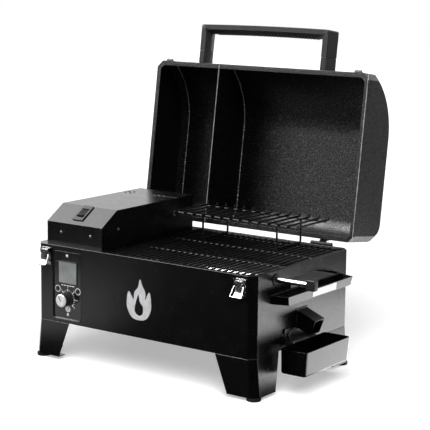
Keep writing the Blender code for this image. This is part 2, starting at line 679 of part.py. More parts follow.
def build_panel(plastic, glass, dark, silver, root):
    """Recessed control panel with display, dial, two buttons and probe socket."""
    face = -HALF_DEPTH + 0.0005
    floor = -HALF_DEPTH + PANEL_RECESS
    back = floor + 0.002
    lip = 0.0015
    bezel = loft("control_bezel", [panel_loop(GAP, back), panel_loop(GAP, face), panel_loop(lip, face),
                                   panel_loop(lip, floor)], plastic, root)
    centre_z = RIM_Z - 0.064
    cut(bezel, box("cutter_display", (PANEL_X - 0.0285, face - 0.01, centre_z - 0.0265),
                   (PANEL_X + 0.0285, back + 0.01, centre_z + 0.0265), plastic, root))
    box("display_lens", (PANEL_X - 0.0280, floor - 0.0008, centre_z - 0.0260),
        (PANEL_X + 0.0280, back, centre_z + 0.0260), glass, root)
    board = box("controller_box", (PANEL_X - 0.041, back + 0.0035, RIM_Z - 0.172),
                (PANEL_X + 0.041, back + 0.040, RIM_Z - 0.020), dark, root)
    soften(board, 0.002, 1)
    build_dial(bezel, plastic, silver, floor, back, root)
    for x, name in zip(BUTTON_X, ("left", "right")):
        cut(bezel, rod(f"cutter_button_{name}", (x, face - 0.01, RIM_Z + BUTTON_Z),
                       (x, back + 0.01, RIM_Z + BUTTON_Z), "y", BUTTON_RADIUS + GAP, plastic, root))
        pivot = add_pivot(f"button_{name}_axis", (x, floor, RIM_Z + BUTTON_Z), root)
        rod(f"button_{name}", (x, floor - 0.0020, RIM_Z + BUTTON_Z), (x, back + 0.0015, RIM_Z + BUTTON_Z),
            "y", BUTTON_RADIUS, plastic, pivot, 16)
    cut(bezel, rod("cutter_jack", (PANEL_X, face - 0.01, RIM_Z + JACK_Z),
                   (PANEL_X, back + 0.01, RIM_Z + JACK_Z), "y", 0.0055, plastic, root))
    turned("probe_jack", (PANEL_X, floor - 0.0015, RIM_Z + JACK_Z), "y",
           [(0.0052, 0), (0.0052, 0.006), (0.002, 0.006), (0.002, 0.0)], silver, root, 16, closed=True)


def build_dial(bezel, plastic, silver, floor, back, root):
    """Temperature dial: a straight-sided knob on its shaft."""
    z = RIM_Z + DIAL_Z
    cut(bezel, rod("cutter_dial", (PANEL_X, floor - 0.01, z), (PANEL_X, back + 0.01, z), "y", 0.004,
                   plastic, root))
    pivot = add_pivot("dial_axis", (PANEL_X, floor, z), root)
    reach = 0.027
    profile = [(0.0035, back + 0.001), (0.0035, floor - 0.0010), (DIAL_RADIUS, floor - 0.0010),
               (DIAL_RADIUS, floor - reach + 0.002), (DIAL_RADIUS - 0.002, floor - reach)]
    turned("temperature_dial", (PANEL_X, 0, z), "y", profile, silver, pivot, 24)


def build_inlet(plastic, root):
    """Mains inlet on the back wall: flanged socket with an open mouth."""
    x, z = -0.280, FLOOR_Z + 0.030
    inlet = box("power_inlet", (x - 0.024, HALF_DEPTH + GAP, z - 0.0145),
                (x + 0.024, HALF_DEPTH + 0.003, z + 0.0145), plastic, root)
    join(inlet, box("weld_inlet_body", (x - 0.0140, HALF_DEPTH - 0.020, z - 0.0100),
                    (x + 0.0140, HALF_DEPTH + 0.002, z + 0.0100), plastic, root))
    cut(inlet, box("cutter_inlet_mouth", (x - 0.0120, HALF_DEPTH - 0.016, z - 0.0080),
                   (x + 0.0120, HALF_DEPTH + 0.010, z + 0.0080), plastic, root))


# ---------------------------------------------------------------- right side

def build_chute(paint, root):
    """Square grease chute, flanged on the wall and cut square at its end."""
    start = HALF_WIDTH + GAP
    drop = CHUTE_RUN * math.tan(CHUTE_SLOPE)
    top, bottom = RIM_Z + CHUTE_TOP, RIM_Z + CHUTE_TOP - CHUTE_DEPTH / math.cos(CHUTE_SLOPE)
    lean = CHUTE_DEPTH * math.sin(CHUTE_SLOPE)
    plate = 0.002

    def ring(x_top, z_top, x_low, z_low, half):
        return [(x_top, CHUTE_Y - half, z_top), (x_top, CHUTE_Y + half, z_top),
                (x_low, CHUTE_Y + half, z_low), (x_low, CHUTE_Y - half, z_low)]

    wall = 0.002
    inner = CHUTE_HALF_WIDTH - wall
    shift = wall * math.tan(CHUTE_SLOPE)
    end_x, end_z = HALF_WIDTH + CHUTE_RUN, top - drop
    low_x, low_z = end_x - lean, end_z - CHUTE_DEPTH * math.cos(CHUTE_SLOPE)
    slip = plate * math.tan(CHUTE_SLOPE)
    flange_half = CHUTE_HALF_WIDTH + 0.004
    loops = [ring(start, top + 0.002, start, bottom - 0.002, flange_half),
             ring(start + plate, top + 0.002, start + plate, bottom - 0.002, flange_half),
             ring(start + plate, top - slip, start + plate, bottom - slip, CHUTE_HALF_WIDTH),
             ring(end_x, end_z, low_x, low_z, CHUTE_HALF_WIDTH),
             ring(end_x - wall * math.sin(CHUTE_SLOPE), end_z - wall * math.cos(CHUTE_SLOPE),
                  low_x + wall * math.sin(CHUTE_SLOPE), low_z + wall * math.cos(CHUTE_SLOPE), inner),
             ring(start, top - wall - shift, start, bottom + wall + shift, inner)]
    loft("grease_chute", loops, paint, root, closed=True)


def bucket_loop(inset, z):
    """Return one level of the bucket: straight towards the wall, tapered at the front and ends."""
    share = (RIM_Z + BUCKET_TOP - z) / BUCKET_DEPTH
    near = HALF_WIDTH + BUCKET_NEAR + inset
    far = HALF_WIDTH + BUCKET_NEAR + BUCKET_WIDTH - inset - BUCKET_FRONT_DRAFT * share
    half_length = BUCKET_LENGTH / 2 - inset - BUCKET_END_DRAFT * share
    corner = max(BUCKET_CORNER - inset, 0.002)
    outline = rounded_rectangle((far - near) / 2, half_length, corner, 3)
    return [((near + far) / 2 + x, BUCKET_Y + y, z) for x, y in outline]


def build_bucket(paint, root):
    """Grease bucket with two keyhole ears that hang on the bracket's pegs."""
    top = RIM_Z + BUCKET_TOP
    floor = top - BUCKET_DEPTH
    pivot = add_pivot("bucket_axis", (HALF_WIDTH, BUCKET_Y, top), root)
    half_heel = BUCKET_HEEL * (1 - math.sqrt(0.5))
    loops = [bucket_loop(BUCKET_HEEL, floor), bucket_loop(half_heel, floor + half_heel),
             bucket_loop(0.0, floor + BUCKET_HEEL), bucket_loop(0.0, top), bucket_loop(BUCKET_WALL, top),
             bucket_loop(BUCKET_WALL, floor + BUCKET_HEEL),
             bucket_loop(half_heel + BUCKET_WALL, floor + half_heel + BUCKET_WALL),
             bucket_loop(BUCKET_HEEL + BUCKET_WALL, floor + BUCKET_WALL)]
    bucket = loft("grease_bucket", loops, paint, pivot)
    ear_x = HALF_WIDTH + 0.003
    wall_x = HALF_WIDTH + BUCKET_NEAR + 0.0008
    ear_top = top + 0.036
    slide = 0.0125
    for index, offset in enumerate(EAR_OFFSETS):
        y = BUCKET_Y + offset
        outline = [(ear_x, top - 0.0015), (ear_x, ear_top), (ear_x + SHEET, ear_top), (ear_x + SHEET, top),
                   (wall_x, top), (wall_x, top - 0.0015)]
        loops = [[(x, side, z) for x, z in outline] for side in (y - 0.014, y + 0.014)]
        join(bucket, loft(f"weld_ear_{index}", loops, paint, pivot))
        cut(bucket, rod(f"cutter_keyhole_{index}", (ear_x - 0.004, y, PEG_Z - slide),
                        (ear_x + 0.006, y, PEG_Z - slide), "x", 0.0055, paint, pivot, 12))
        cut(bucket, box(f"cutter_keyslot_{index}", (ear_x - 0.004, y - 0.0035, PEG_Z - slide),
                        (ear_x + 0.006, y + 0.0035, PEG_Z + 0.0035), paint, pivot))


def build_bracket(paint, root):
    """Bracket plate on the wall with two headed pegs for the bucket."""
    low_x = HALF_WIDTH + GAP
    high_x = HALF_WIDTH + 0.0023
    bracket = box("bucket_bracket", (low_x, BUCKET_Y - 0.072, RIM_Z - 0.180),
                  (high_x, BUCKET_Y + 0.072, RIM_Z - 0.1505), paint, root)
    for index, offset in enumerate(EAR_OFFSETS):
        head = HALF_WIDTH + 0.0050
        profile = [(0.0030, 0), (0.0030, head - high_x + 0.001), (0.0050, head - high_x + 0.001),
                   (0.0050, head - high_x + 0.0035)]
        join(bracket, turned(f"weld_peg_{index}", (high_x - 0.001, BUCKET_Y + offset, PEG_Z), "x", profile,
                             paint, root, 12))


def build_scoop(paint, root):
    """Exhaust scoop: an open-topped tray with flared sides below the exhaust slot."""
    wall = 0.0015
    top, floor = RIM_Z - 0.0525, RIM_Z - 0.073
    start = HALF_WIDTH + GAP

    def level(z, inset, flare, spread):
        reach = SCOOP_REACH - flare - inset
        back = start + inset
        half_back = 0.153 - spread - inset
        half_front = 0.140 - spread - inset
        return [(back, SCOOP_Y - half_back, z), (HALF_WIDTH + reach, SCOOP_Y - half_front, z),
                (HALF_WIDTH + reach, SCOOP_Y + half_front, z), (back, SCOOP_Y + half_back, z)]

    loops = [level(floor, 0, 0.0025, 0.006), level(top, 0, 0, 0), level(top, wall, 0, 0),
             level(floor + wall, wall, 0.0025, 0.006)]
    loft("exhaust_scoop", loops, paint, root)


def build_grommet(plastic, root):
    """Ring that guides the broiler rod through the wall."""
    start = HALF_WIDTH + GAP
    turned("rod_grommet", (start, ROD_Y, ROD_Z), "x",
           [(0.0145, 0), (0.0145, 0.0015), (0.012, 0.003), (ROD_RADIUS + GAP, 0.003), (ROD_RADIUS + GAP, 0)],
           plastic, root, 24, closed=True)


# ---------------------------------------------------------------- lid

def lid_outline(inset, floor):
    """Return the lid's side profile as (y, z) in its closed place."""
    base = RIM_Z + LID_SEAT
    front_y = -HALF_DEPTH + inset
    radius = LID_FRONT_RADIUS - inset
    centre_z = base + LID_TOP - LID_FRONT_RADIUS
    start = math.asin((LID_FRONT_CENTRE - front_y) / radius)
    points = [(front_y, floor)]
    steps = 9
    for step in range(steps + 1):
        angle = start * (1 - step / steps)
        points.append((LID_FRONT_CENTRE - radius * math.sin(angle), centre_z + radius * math.cos(angle)))
    rear_radius = LID_REAR_RADIUS - inset
    rear_y = HALF_DEPTH - LID_REAR_RADIUS
    rear_z = base + LID_TOP - LID_REAR_RADIUS
    steps = 5
    for step in range(steps + 1):
        angle = math.pi / 2 * step / steps
        points.append((rear_y + rear_radius * math.sin(angle), rear_z + rear_radius * math.cos(angle)))
    points.append((HALF_DEPTH - inset, floor))
    return points


def lid_loops(inset, floor):
    """Return the lid's four sections along X: end, skin, skin, end."""
    slack = inset * (math.sqrt(2) - 1)
    sections = ((-HALF_WIDTH + inset, CORNER_CHAMFER + slack), (-HALF_WIDTH + CORNER_CHAMFER + slack, inset),
                (HALF_WIDTH - CORNER_CHAMFER - slack, inset), (HALF_WIDTH - inset, CORNER_CHAMFER + slack))
    return [[(x, y, z) for y, z in lid_outline(profile_inset, floor)] for x, profile_inset in sections]


def build_lid(paint, plastic, steel, root):
    """Lid shell with its partition, handle, latch strikes and hinge leaves."""
    pin = (0, HALF_DEPTH + PIN_SETBACK, RIM_Z)
    lid = add_pivot("lid_axis", pin, root, turn=-LID_ANGLE)
    base = RIM_Z + LID_SEAT
    shell = loft("lid_shell", lid_loops(0, base), paint, lid)
    cut(shell, loft("cutter_lid", lid_loops(SHEET, base + SHEET), paint, lid))
    mouth = [body_plan(LID_FLANGE, base - 0.01), body_plan(LID_FLANGE, base + 0.004)]
    cut(shell, loft("cutter_lid_mouth", mouth, paint, lid))
    partition = lid_outline(SHEET + GAP, base + SHEET + GAP)
    prism_x("lid_partition", partition, PARTITION_X - 0.0012, PARTITION_X, paint, lid)
    build_handle(plastic, lid, base)
    hook = ((-0.0003, 0.002), (-0.0003, 0.015), (-0.0022, 0.015), (-0.0022, 0.007), (-0.0048, 0.009),
            (-0.0062, 0.0055), (-0.0022, 0.002))
    for side, name in ((-1, "left"), (1, "right")):
        outline = [(-HALF_DEPTH + y, base + z) for y, z in hook]
        prism_x(f"lid_strike_{name}", outline, side * LATCH_X - 0.009, side * LATCH_X + 0.009, paint, lid)
        build_hinge(side, name, steel, lid, root)


def handle_section(side, y_values):
    """Return the handle's section at one side: thickness runs inwards, height up."""
    post = HANDLE_POST
    section = ((0.0, 0.006), (post, 0.006), (post, 0.032), (0.010, 0.055), (0.0, 0.055))
    return [(side * (HANDLE_HALF - inward), y_values(inward, up), RIM_Z + LID_SEAT + up)
            for inward, up in section]


def build_handle(plastic, lid, base):
    """Moulded handle: two posts on the front wall and a grip between them."""
    wall_y = -HALF_DEPTH - GAP
    seam_y = -HALF_DEPTH - 0.033
    front_y = -HALF_DEPTH - 0.100
    for side, name in ((-1, "left"), (1, "right")):
        loops = [handle_section(side, lambda inward, up: wall_y),
                 handle_section(side, lambda inward, up: seam_y + GAP)]
        post = loft(f"handle_post_{name}", loops, plastic, lid)
        soften(post, 0.0015, 1)

    def bar_y(inward, up):
        """Return the bar's depth: its finger side leans, thin at the front and thick behind."""
        thickness = HANDLE_BAR_FRONT if up < 0.01 else HANDLE_BAR_BACK
        return front_y + thickness * inward / HANDLE_POST

    bow = 0.002
    middle = [(0.0, y - bow, z) for _, y, z in handle_section(1, bar_y)]
    loops = [handle_section(-1, lambda inward, up: seam_y), handle_section(-1, bar_y), middle,
             handle_section(1, bar_y), handle_section(1, lambda inward, up: seam_y)]
    grip = loft("handle_grip", loops, plastic, lid)
    soften(grip, 0.0025, 2)


def build_hinge(side, name, steel, lid, root):
    """Butt hinge: body leaf with two knuckles and the pin, lid leaf with one knuckle."""
    centre = side * HINGE_X
    pin_y = HALF_DEPTH + PIN_SETBACK
    inner = 0.0100
    leaf_y = HALF_DEPTH + GAP
    outline = ((leaf_y, -0.009), (leaf_y, -0.032), (leaf_y + 0.002, -0.032), (leaf_y + 0.002, -0.0085),
               (pin_y + 0.002, -0.0042), (pin_y - 0.002, -0.0030))
    leaf = box(f"hinge_leaf_{name}", (centre - HINGE_HALF_WIDTH, leaf_y, RIM_Z - 0.032),
               (centre + HINGE_HALF_WIDTH, leaf_y + 0.002, RIM_Z - 0.009), steel, root)
    for end in (-1, 1):
        spans = sorted((centre + end * (inner + GAP), centre + end * HINGE_HALF_WIDTH))
        web = prism_x(f"weld_web_{name}_{end}", [(y, RIM_Z + z) for y, z in outline], *spans, steel, root)
        join(leaf, web)
        join(leaf, rod(f"weld_knuckle_{name}_{end}", (spans[0], pin_y, RIM_Z), (spans[1], pin_y, RIM_Z), "x",
                       KNUCKLE_RADIUS, steel, root, 16))
    reach = HINGE_HALF_WIDTH + 0.002
    join(leaf, rod(f"weld_pin_{name}", (centre - reach, pin_y, RIM_Z), (centre + reach, pin_y, RIM_Z), "x",
                   PIN_RADIUS, steel, root, 16))
    upper = [(y, RIM_Z - z) for y, z in outline]
    lid_leaf = prism_x(f"lid_hinge_leaf_{name}", upper, centre - inner, centre + inner, steel, lid)
    join(lid_leaf, rod(f"weld_lid_knuckle_{name}", (centre - inner, pin_y, RIM_Z),
                       (centre + inner, pin_y, RIM_Z), "x", KNUCKLE_RADIUS, steel, lid, 16))
    cut(lid_leaf, rod(f"cutter_pin_{name}", (centre - 0.02, pin_y, RIM_Z), (centre + 0.02, pin_y, RIM_Z), "x",
                      PIN_RADIUS + GAP, steel, lid, 16))


# ---------------------------------------------------------------- draw latches

def build_latches(chrome, root):
    """Two draw latches: base, lever with curled tail, and hanging wire bail."""
    for side, name in ((-1, "left"), (1, "right")):
        centre = side * LATCH_X
        wall = -HALF_DEPTH - GAP
        base = box(f"latch_base_{name}", (centre - 0.013, wall - 0.0012, RIM_Z - 0.050),
                   (centre + 0.013, wall, RIM_Z - 0.007), chrome, root)
        for ear in (-1, 1):
            spans = sorted((centre + ear * 0.0112, centre + ear * 0.0128))
            join(base, box(f"weld_latch_ear_{name}_{ear}", (spans[0], wall - 0.0095, RIM_Z - 0.0195),
                           (spans[1], wall - 0.0005, RIM_Z - 0.0085), chrome, root))
        join(base, rod(f"weld_latch_pin_{name}", (centre - 0.0122, LATCH_PIN_Y, LATCH_PIN_Z),
                       (centre + 0.0122, LATCH_PIN_Y, LATCH_PIN_Z), "x", 0.0014, chrome, root, 12))
        build_lever(centre, name, chrome, root)


def build_lever(centre, name, chrome, root):
    """Lever on the base's pin, and the bail that swings on the lever."""
    pivot = add_pivot(f"lever_{name}_axis", (centre, LATCH_PIN_Y, LATCH_PIN_Z), root)
    outline = ((-0.0030, 0.0032), (-0.0040, 0.0), (-0.0040, -0.021), (-0.0070, -0.0280), (-0.0135, -0.0335),
               (-0.0130, -0.0355), (-0.0060, -0.0310), (-0.0015, -0.0240), (0.0005, -0.010),
               (0.0035, -0.0020),
               (0.0030, 0.0032))
    shape = [(LATCH_PIN_Y + y, LATCH_PIN_Z + z) for y, z in outline]
    lever = prism_x(f"latch_lever_{name}", shape, centre - 0.0095, centre + 0.0095, chrome, pivot)
    cut(lever, rod(f"cutter_lever_{name}", (centre - 0.02, LATCH_PIN_Y, LATCH_PIN_Z),
                   (centre + 0.02, LATCH_PIN_Y, LATCH_PIN_Z), "x", 0.0018, chrome, pivot, 12))
    bail_y, bail_z = LATCH_PIN_Y - 0.0020, LATCH_PIN_Z - 0.0100
    bail = add_pivot(f"bail_{name}_axis", (centre, bail_y, bail_z), pivot)
    foot_y, foot_z = bail_y - 0.0125, bail_z - 0.0220
    corners = [(centre + side * x, y, z) for side, x, y, z in
               ((-1, 0.0100, bail_y, bail_z), (-1, 0.0126, bail_y, bail_z), (-1, 0.0155, foot_y, foot_z),
                (1, 0.0155, foot_y, foot_z), (1, 0.0126, bail_y, bail_z), (1, 0.0100, bail_y, bail_z))]
    wire(f"latch_bail_{name}", rounded_path(corners, 0.0018, 3), 0.0012, chrome, bail)


# ---------------------------------------------------------------- assembly

def centre_over_origin(root):
    """Move the root so that the centre of the grill's bounding box is over the origin."""
    bpy.context.view_layer.update()
    graph = bpy.context.evaluated_depsgraph_get()
    points = []
    for part in bpy.data.objects:
        if part.type == "EMPTY" or part.hide_render:
            continue
        evaluated = part.evaluated_get(graph)
        mesh = evaluated.to_mesh()
        points.extend(evaluated.matrix_world @ vertex.co for vertex in mesh.vertices)
        evaluated.to_mesh_clear()
    for axis in (0, 1):
        values = [point[axis] for point in points]
        root.location[axis] -= (min(values) + max(values)) / 2


def main():
    """Build the whole grill."""
    clear_scene()
    paint = make_material("black_paint", (0.015, 0.015, 0.016), 0.35)
    plastic = make_material("black_plastic", (0.02, 0.02, 0.02), 0.5)
    rubber = make_material("black_rubber", (0.02, 0.02, 0.02), 0.8)
    steel = make_material("dark_steel", (0.30, 0.30, 0.31), 0.4, 1.0)
    chrome = make_material("chrome", (0.80, 0.80, 0.82), 0.12, 1.0)
    silver = make_material("silver_paint", (0.60, 0.60, 0.61), 0.3, 1.0)
    iron = make_material("black_enamel", (0.02, 0.02, 0.02), 0.25)
    glass = make_material("display_glass", (0.25, 0.27, 0.27), 0.08)
    root = add_pivot("grill", (0, 0, 0))
    build_firebox(paint, root)
    build_legs(paint, rubber, root)
    build_divider(paint, root)
    build_housing(paint, root)
    build_hopper_bin(steel, root)
    build_hopper_lid(paint, root)
    build_switch(plastic, root)
    build_feed(steel, plastic, root)
    build_ledge(paint, root)
    build_grates(iron, root)
    build_broiler(steel, chrome, plastic, root)
    build_probe(steel, root)
    build_panel(plastic, glass, plastic, silver, root)
    build_inlet(plastic, root)
    build_chute(paint, root)
    build_bracket(paint, root)
    build_bucket(paint, root)
    build_scoop(paint, root)
    build_grommet(plastic, root)
    build_lid(paint, plastic, steel, root)
    build_latches(chrome, root)
    centre_over_origin(root)


main()
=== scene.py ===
"""Looks of a tabletop pellet smoker grill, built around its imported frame.

Metres.  Pieces are drawn in grill coordinates: X and Y from the middle of the firebox,
heights over its rim.  Pieces of the lid are drawn on the closed lid, and LID turns them
open about the hinge pin.
"""

import math
import random

import bmesh
import bpy
from mathutils import Matrix, Vector


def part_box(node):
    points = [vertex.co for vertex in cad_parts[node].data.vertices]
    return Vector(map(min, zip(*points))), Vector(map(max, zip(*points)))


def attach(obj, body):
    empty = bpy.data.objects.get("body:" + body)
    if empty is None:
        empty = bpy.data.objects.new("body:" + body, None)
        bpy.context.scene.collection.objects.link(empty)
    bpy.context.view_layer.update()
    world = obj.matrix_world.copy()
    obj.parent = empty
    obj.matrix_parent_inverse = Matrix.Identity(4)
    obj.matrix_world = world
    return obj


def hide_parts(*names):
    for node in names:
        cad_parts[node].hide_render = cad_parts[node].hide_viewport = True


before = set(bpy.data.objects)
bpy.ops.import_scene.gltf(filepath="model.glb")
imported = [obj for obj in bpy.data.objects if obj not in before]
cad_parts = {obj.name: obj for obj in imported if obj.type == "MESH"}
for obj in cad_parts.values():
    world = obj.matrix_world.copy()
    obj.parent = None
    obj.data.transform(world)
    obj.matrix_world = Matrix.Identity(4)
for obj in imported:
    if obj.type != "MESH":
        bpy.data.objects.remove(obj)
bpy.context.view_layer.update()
SHELL_LOW, SHELL_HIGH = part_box("firebox_shell")

# Firebox
HALF_WIDTH = (SHELL_HIGH.x - SHELL_LOW.x) / 2
HALF_DEPTH = (SHELL_HIGH.y - SHELL_LOW.y) / 2
RIM_Z = SHELL_HIGH.z
CENTRE = Vector(((SHELL_LOW.x + SHELL_HIGH.x) / 2, (SHELL_LOW.y + SHELL_HIGH.y) / 2, RIM_Z))

# Lid
LID_ANGLE = math.radians(98)
PIN = Vector((0, HALF_DEPTH + 0.011, 0))
LID_SEAT = 0.001
LID_TOP = 0.142
LID_FRONT_RADIUS = 0.183
LID_FRONT_CENTRE = -0.050
LID_REAR_RADIUS = 0.044
SKIN_LEFT = -0.304
PARTITION_X = -0.122
BEAD_PITCH = 0.006
BEAD_LIFT = 0.0010
BEAD_SMALLEST, BEAD_LARGEST = 0.0006, 0.0020
BEAD_STRAY = 0.0004
# Radius of the light grey tubes that paint a highlight along two lid edges
HIGHLIGHT_EDGE_RADIUS = 0.0008

# Handle, on the closed lid
HANDLE_HALF = 0.192
HANDLE_SEAM = -0.238
HANDLE_FRONT = -0.305
HANDLE_POST = 0.017
HANDLE_BAR_FRONT = 0.0135
HANDLE_BAR_BACK = 0.0225
HANDLE_BOW = 0.002
TOOTH_PITCH = 0.010
TOOTH_DEPTH = 0.0022
TOOTHED_HALF = 0.150

# Hopper housing
HOUSING_RIGHT = -0.128
HOUSING_FRONT = -0.186
HOUSING_TOP = 0.089
HOPPER_SEAM_Y = 0.105

# Cooking grate and warming rack
GRATE_LOW = Vector((-0.116, -0.194, -0.007))
GRATE_HIGH = Vector((0.309, 0.194, -0.001))
GRATE_BARS = 24
GRATE_WIRE = 0.0024
GRATE_CORNER = 0.021
CROSS_BAR_Y = 0.065
RACK_LEFT, RACK_RIGHT = -0.088, 0.268
RACK_FRONT, RACK_BACK = 0.044, 0.189
RACK_Z = 0.067
RACK_BARS = 14
RACK_WIRE = 0.0026
RACK_LEG_X = (-0.0264, 0.1910)
RACK_LEG_Y = (0.080, 0.186)

# Control panel
PANEL_X = -0.222
PANEL_FLOOR = -HALF_DEPTH + 0.0035
DISPLAY_Z = -0.064
DIAL_Z = -0.128
DIAL_RADIUS = 0.017
DIAL_REACH = 0.027
PRINT_LOW, PRINT_HIGH = 0.00002, 0.00022
DASH_Z = -0.0955
DASH_HALF = (0.0032, 0.0009)

# Emblem, latches and scoop
EMBLEM_Z = -0.097
EMBLEM_SIZE = (0.076, 0.096)
LATCH_X = 0.285
SCOOP_REACH = 0.042
LABEL_Y = (-0.027, 0.076)

# Studio: each soft light is its direction, inner and outer angle in degrees, and strength
STUDIO = (
    ((-0.50, 0.15, 0.85), 18, 38, 2.7),
    ((-0.50, 0.85, 0.17), 30, 70, 1.5),
    ((-0.57, -0.45, 0.70), 6, 34, 20.0),
    ((-0.60, -0.65, 0.42), 5, 28, 1.0),
    ((0.97, 0.16, -0.10), 4, 9, 50.0),
    ((0.0, 0.0, 1.0), 30, 84, 0.55),
)
STUDIO_BASE = 0.012
FLOOR_SIZE = 24.0
FLOOR_GLOW = 0.42
OVERHEAD_FROM = (0.40, -0.56, 0.72)
OVERHEAD_STRENGTH = 3.5
OVERHEAD_WIDTH = math.radians(45)
# Floor cards: name, foot of the wall, bearing, near and far end, width and brightness
FLOOR_CARDS = (
    ("right_floor", (0.32, -0.02), (0.571, 0.802), 0.08, 0.95, 0.8, 3.9),
    ("front_floor", (-0.33, -0.205), (-0.571, -0.802), 0.20, 0.95, 0.34, 1.0),
)
CARD_HEIGHT = 0.003
CAMERA_AZIMUTH = math.radians(35.475)
CAMERA_ELEVATION = math.radians(9.993)
CAMERA_ROLL = math.radians(0.65)
CAMERA_LENS = 121.8
CAMERA_DISTANCE = 3.5005
CAMERA_SHIFT_RIGHT, CAMERA_SHIFT_DOWN = 0.0541, 0.0067
CAMERA_TARGET_Z = 0.3651

BODY = Matrix.Translation(CENTRE)
LID = BODY @ Matrix.Translation(PIN) @ Matrix.Rotation(-LID_ANGLE, 4, "X") @ Matrix.Translation(-PIN)
FACING = {
    "front": Matrix.Rotation(math.pi / 2, 4, "X"),
    "back": Matrix.Rotation(math.pi, 4, "Z") @ Matrix.Rotation(math.pi / 2, 4, "X"),
    "right": Matrix.Rotation(math.pi / 2, 4, "Z") @ Matrix.Rotation(math.pi / 2, 4, "X"),
    "up": Matrix.Identity(4),
}


# ---------------------------------------------------------------- materials

def link(tree, start, end):
    """Join two sockets."""
    tree.links.new(start, end)


def noise(tree, vector, scale, detail=3.0):
    """Add a noise texture and return its value socket."""
    node = tree.nodes.new("ShaderNodeTexNoise")
    node.inputs["Scale"].default_value = scale
    node.inputs["Detail"].default_value = detail
    link(tree, vector, node.inputs["Vector"])
    return node.outputs["Fac"]


def hammered(tree, vector, scale):
    """Add the rounded cells of a hammertone coat and return their height."""
    node = tree.nodes.new("ShaderNodeTexVoronoi")
    node.feature = "SMOOTH_F1"
    node.inputs["Scale"].default_value = scale
    link(tree, vector, node.inputs["Vector"])
    return node.outputs["Distance"]


def spread(tree, value, low, high, start=0.3, end=0.7):
    """Map a texture's middle range to low and high."""
    node = tree.nodes.new("ShaderNodeMapRange")
    node.inputs["From Min"].default_value = start
    node.inputs["From Max"].default_value = end
    node.inputs["To Min"].default_value = low
    node.inputs["To Max"].default_value = high
    link(tree, value, node.inputs["Value"])
    return node.outputs["Result"]


def blend_colours(tree, share, dark, light):
    """Mix two colours by a value socket."""
    node = tree.nodes.new("ShaderNodeMix")
    node.data_type = "RGBA"
    node.inputs["A"].default_value = (*dark, 1.0)
    node.inputs["B"].default_value = (*light, 1.0)
    link(tree, share, node.inputs["Factor"])
    return node.outputs["Result"]


def make_finish(name, dark, light, roughness, metallic=0.0, patch=40.0, grain=500.0, depth=0.0002,
                cells=False, stretch=(1, 1, 1), specular=0.5, flecks=0.0):
    """Return a material of patchy or glinting flecked colour, with uneven gloss and a fine relief."""
    material = bpy.data.materials.new(name)
    material.use_nodes = True
    tree = material.node_tree
    shader = tree.nodes["Principled BSDF"]
    shader.inputs["Metallic"].default_value = metallic
    shader.inputs["Specular IOR Level"].default_value = specular
    place = tree.nodes.new("ShaderNodeTexCoord")
    mapping = tree.nodes.new("ShaderNodeMapping")
    mapping.inputs["Scale"].default_value = stretch
    link(tree, place.outputs["Object"], mapping.inputs["Vector"])
    vector = mapping.outputs["Vector"]
    if flecks:
        share = spread(tree, noise(tree, vector, flecks, 1.0), 0.0, 1.0, 0.50, 0.72)
        glint = spread(tree, share, 0.25, 1.0, 0.0, 1.0)
        link(tree, glint, shader.inputs["Specular IOR Level"])
    else:
        share = spread(tree, noise(tree, vector, patch), 0.0, 1.0)
    colour = blend_colours(tree, share, dark, light)
    link(tree, colour, shader.inputs["Base Color"])
    gloss = spread(tree, noise(tree, vector, patch * 2.3), *roughness)
    link(tree, gloss, shader.inputs["Roughness"])
    bump = tree.nodes.new("ShaderNodeBump")
    bump.inputs["Strength"].default_value = 1.0
    bump.inputs["Distance"].default_value = depth
    relief = hammered(tree, vector, grain) if cells else noise(tree, vector, grain, 2.0)
    link(tree, relief, bump.inputs["Height"])
    link(tree, bump.outputs["Normal"], shader.inputs["Normal"])
    return material


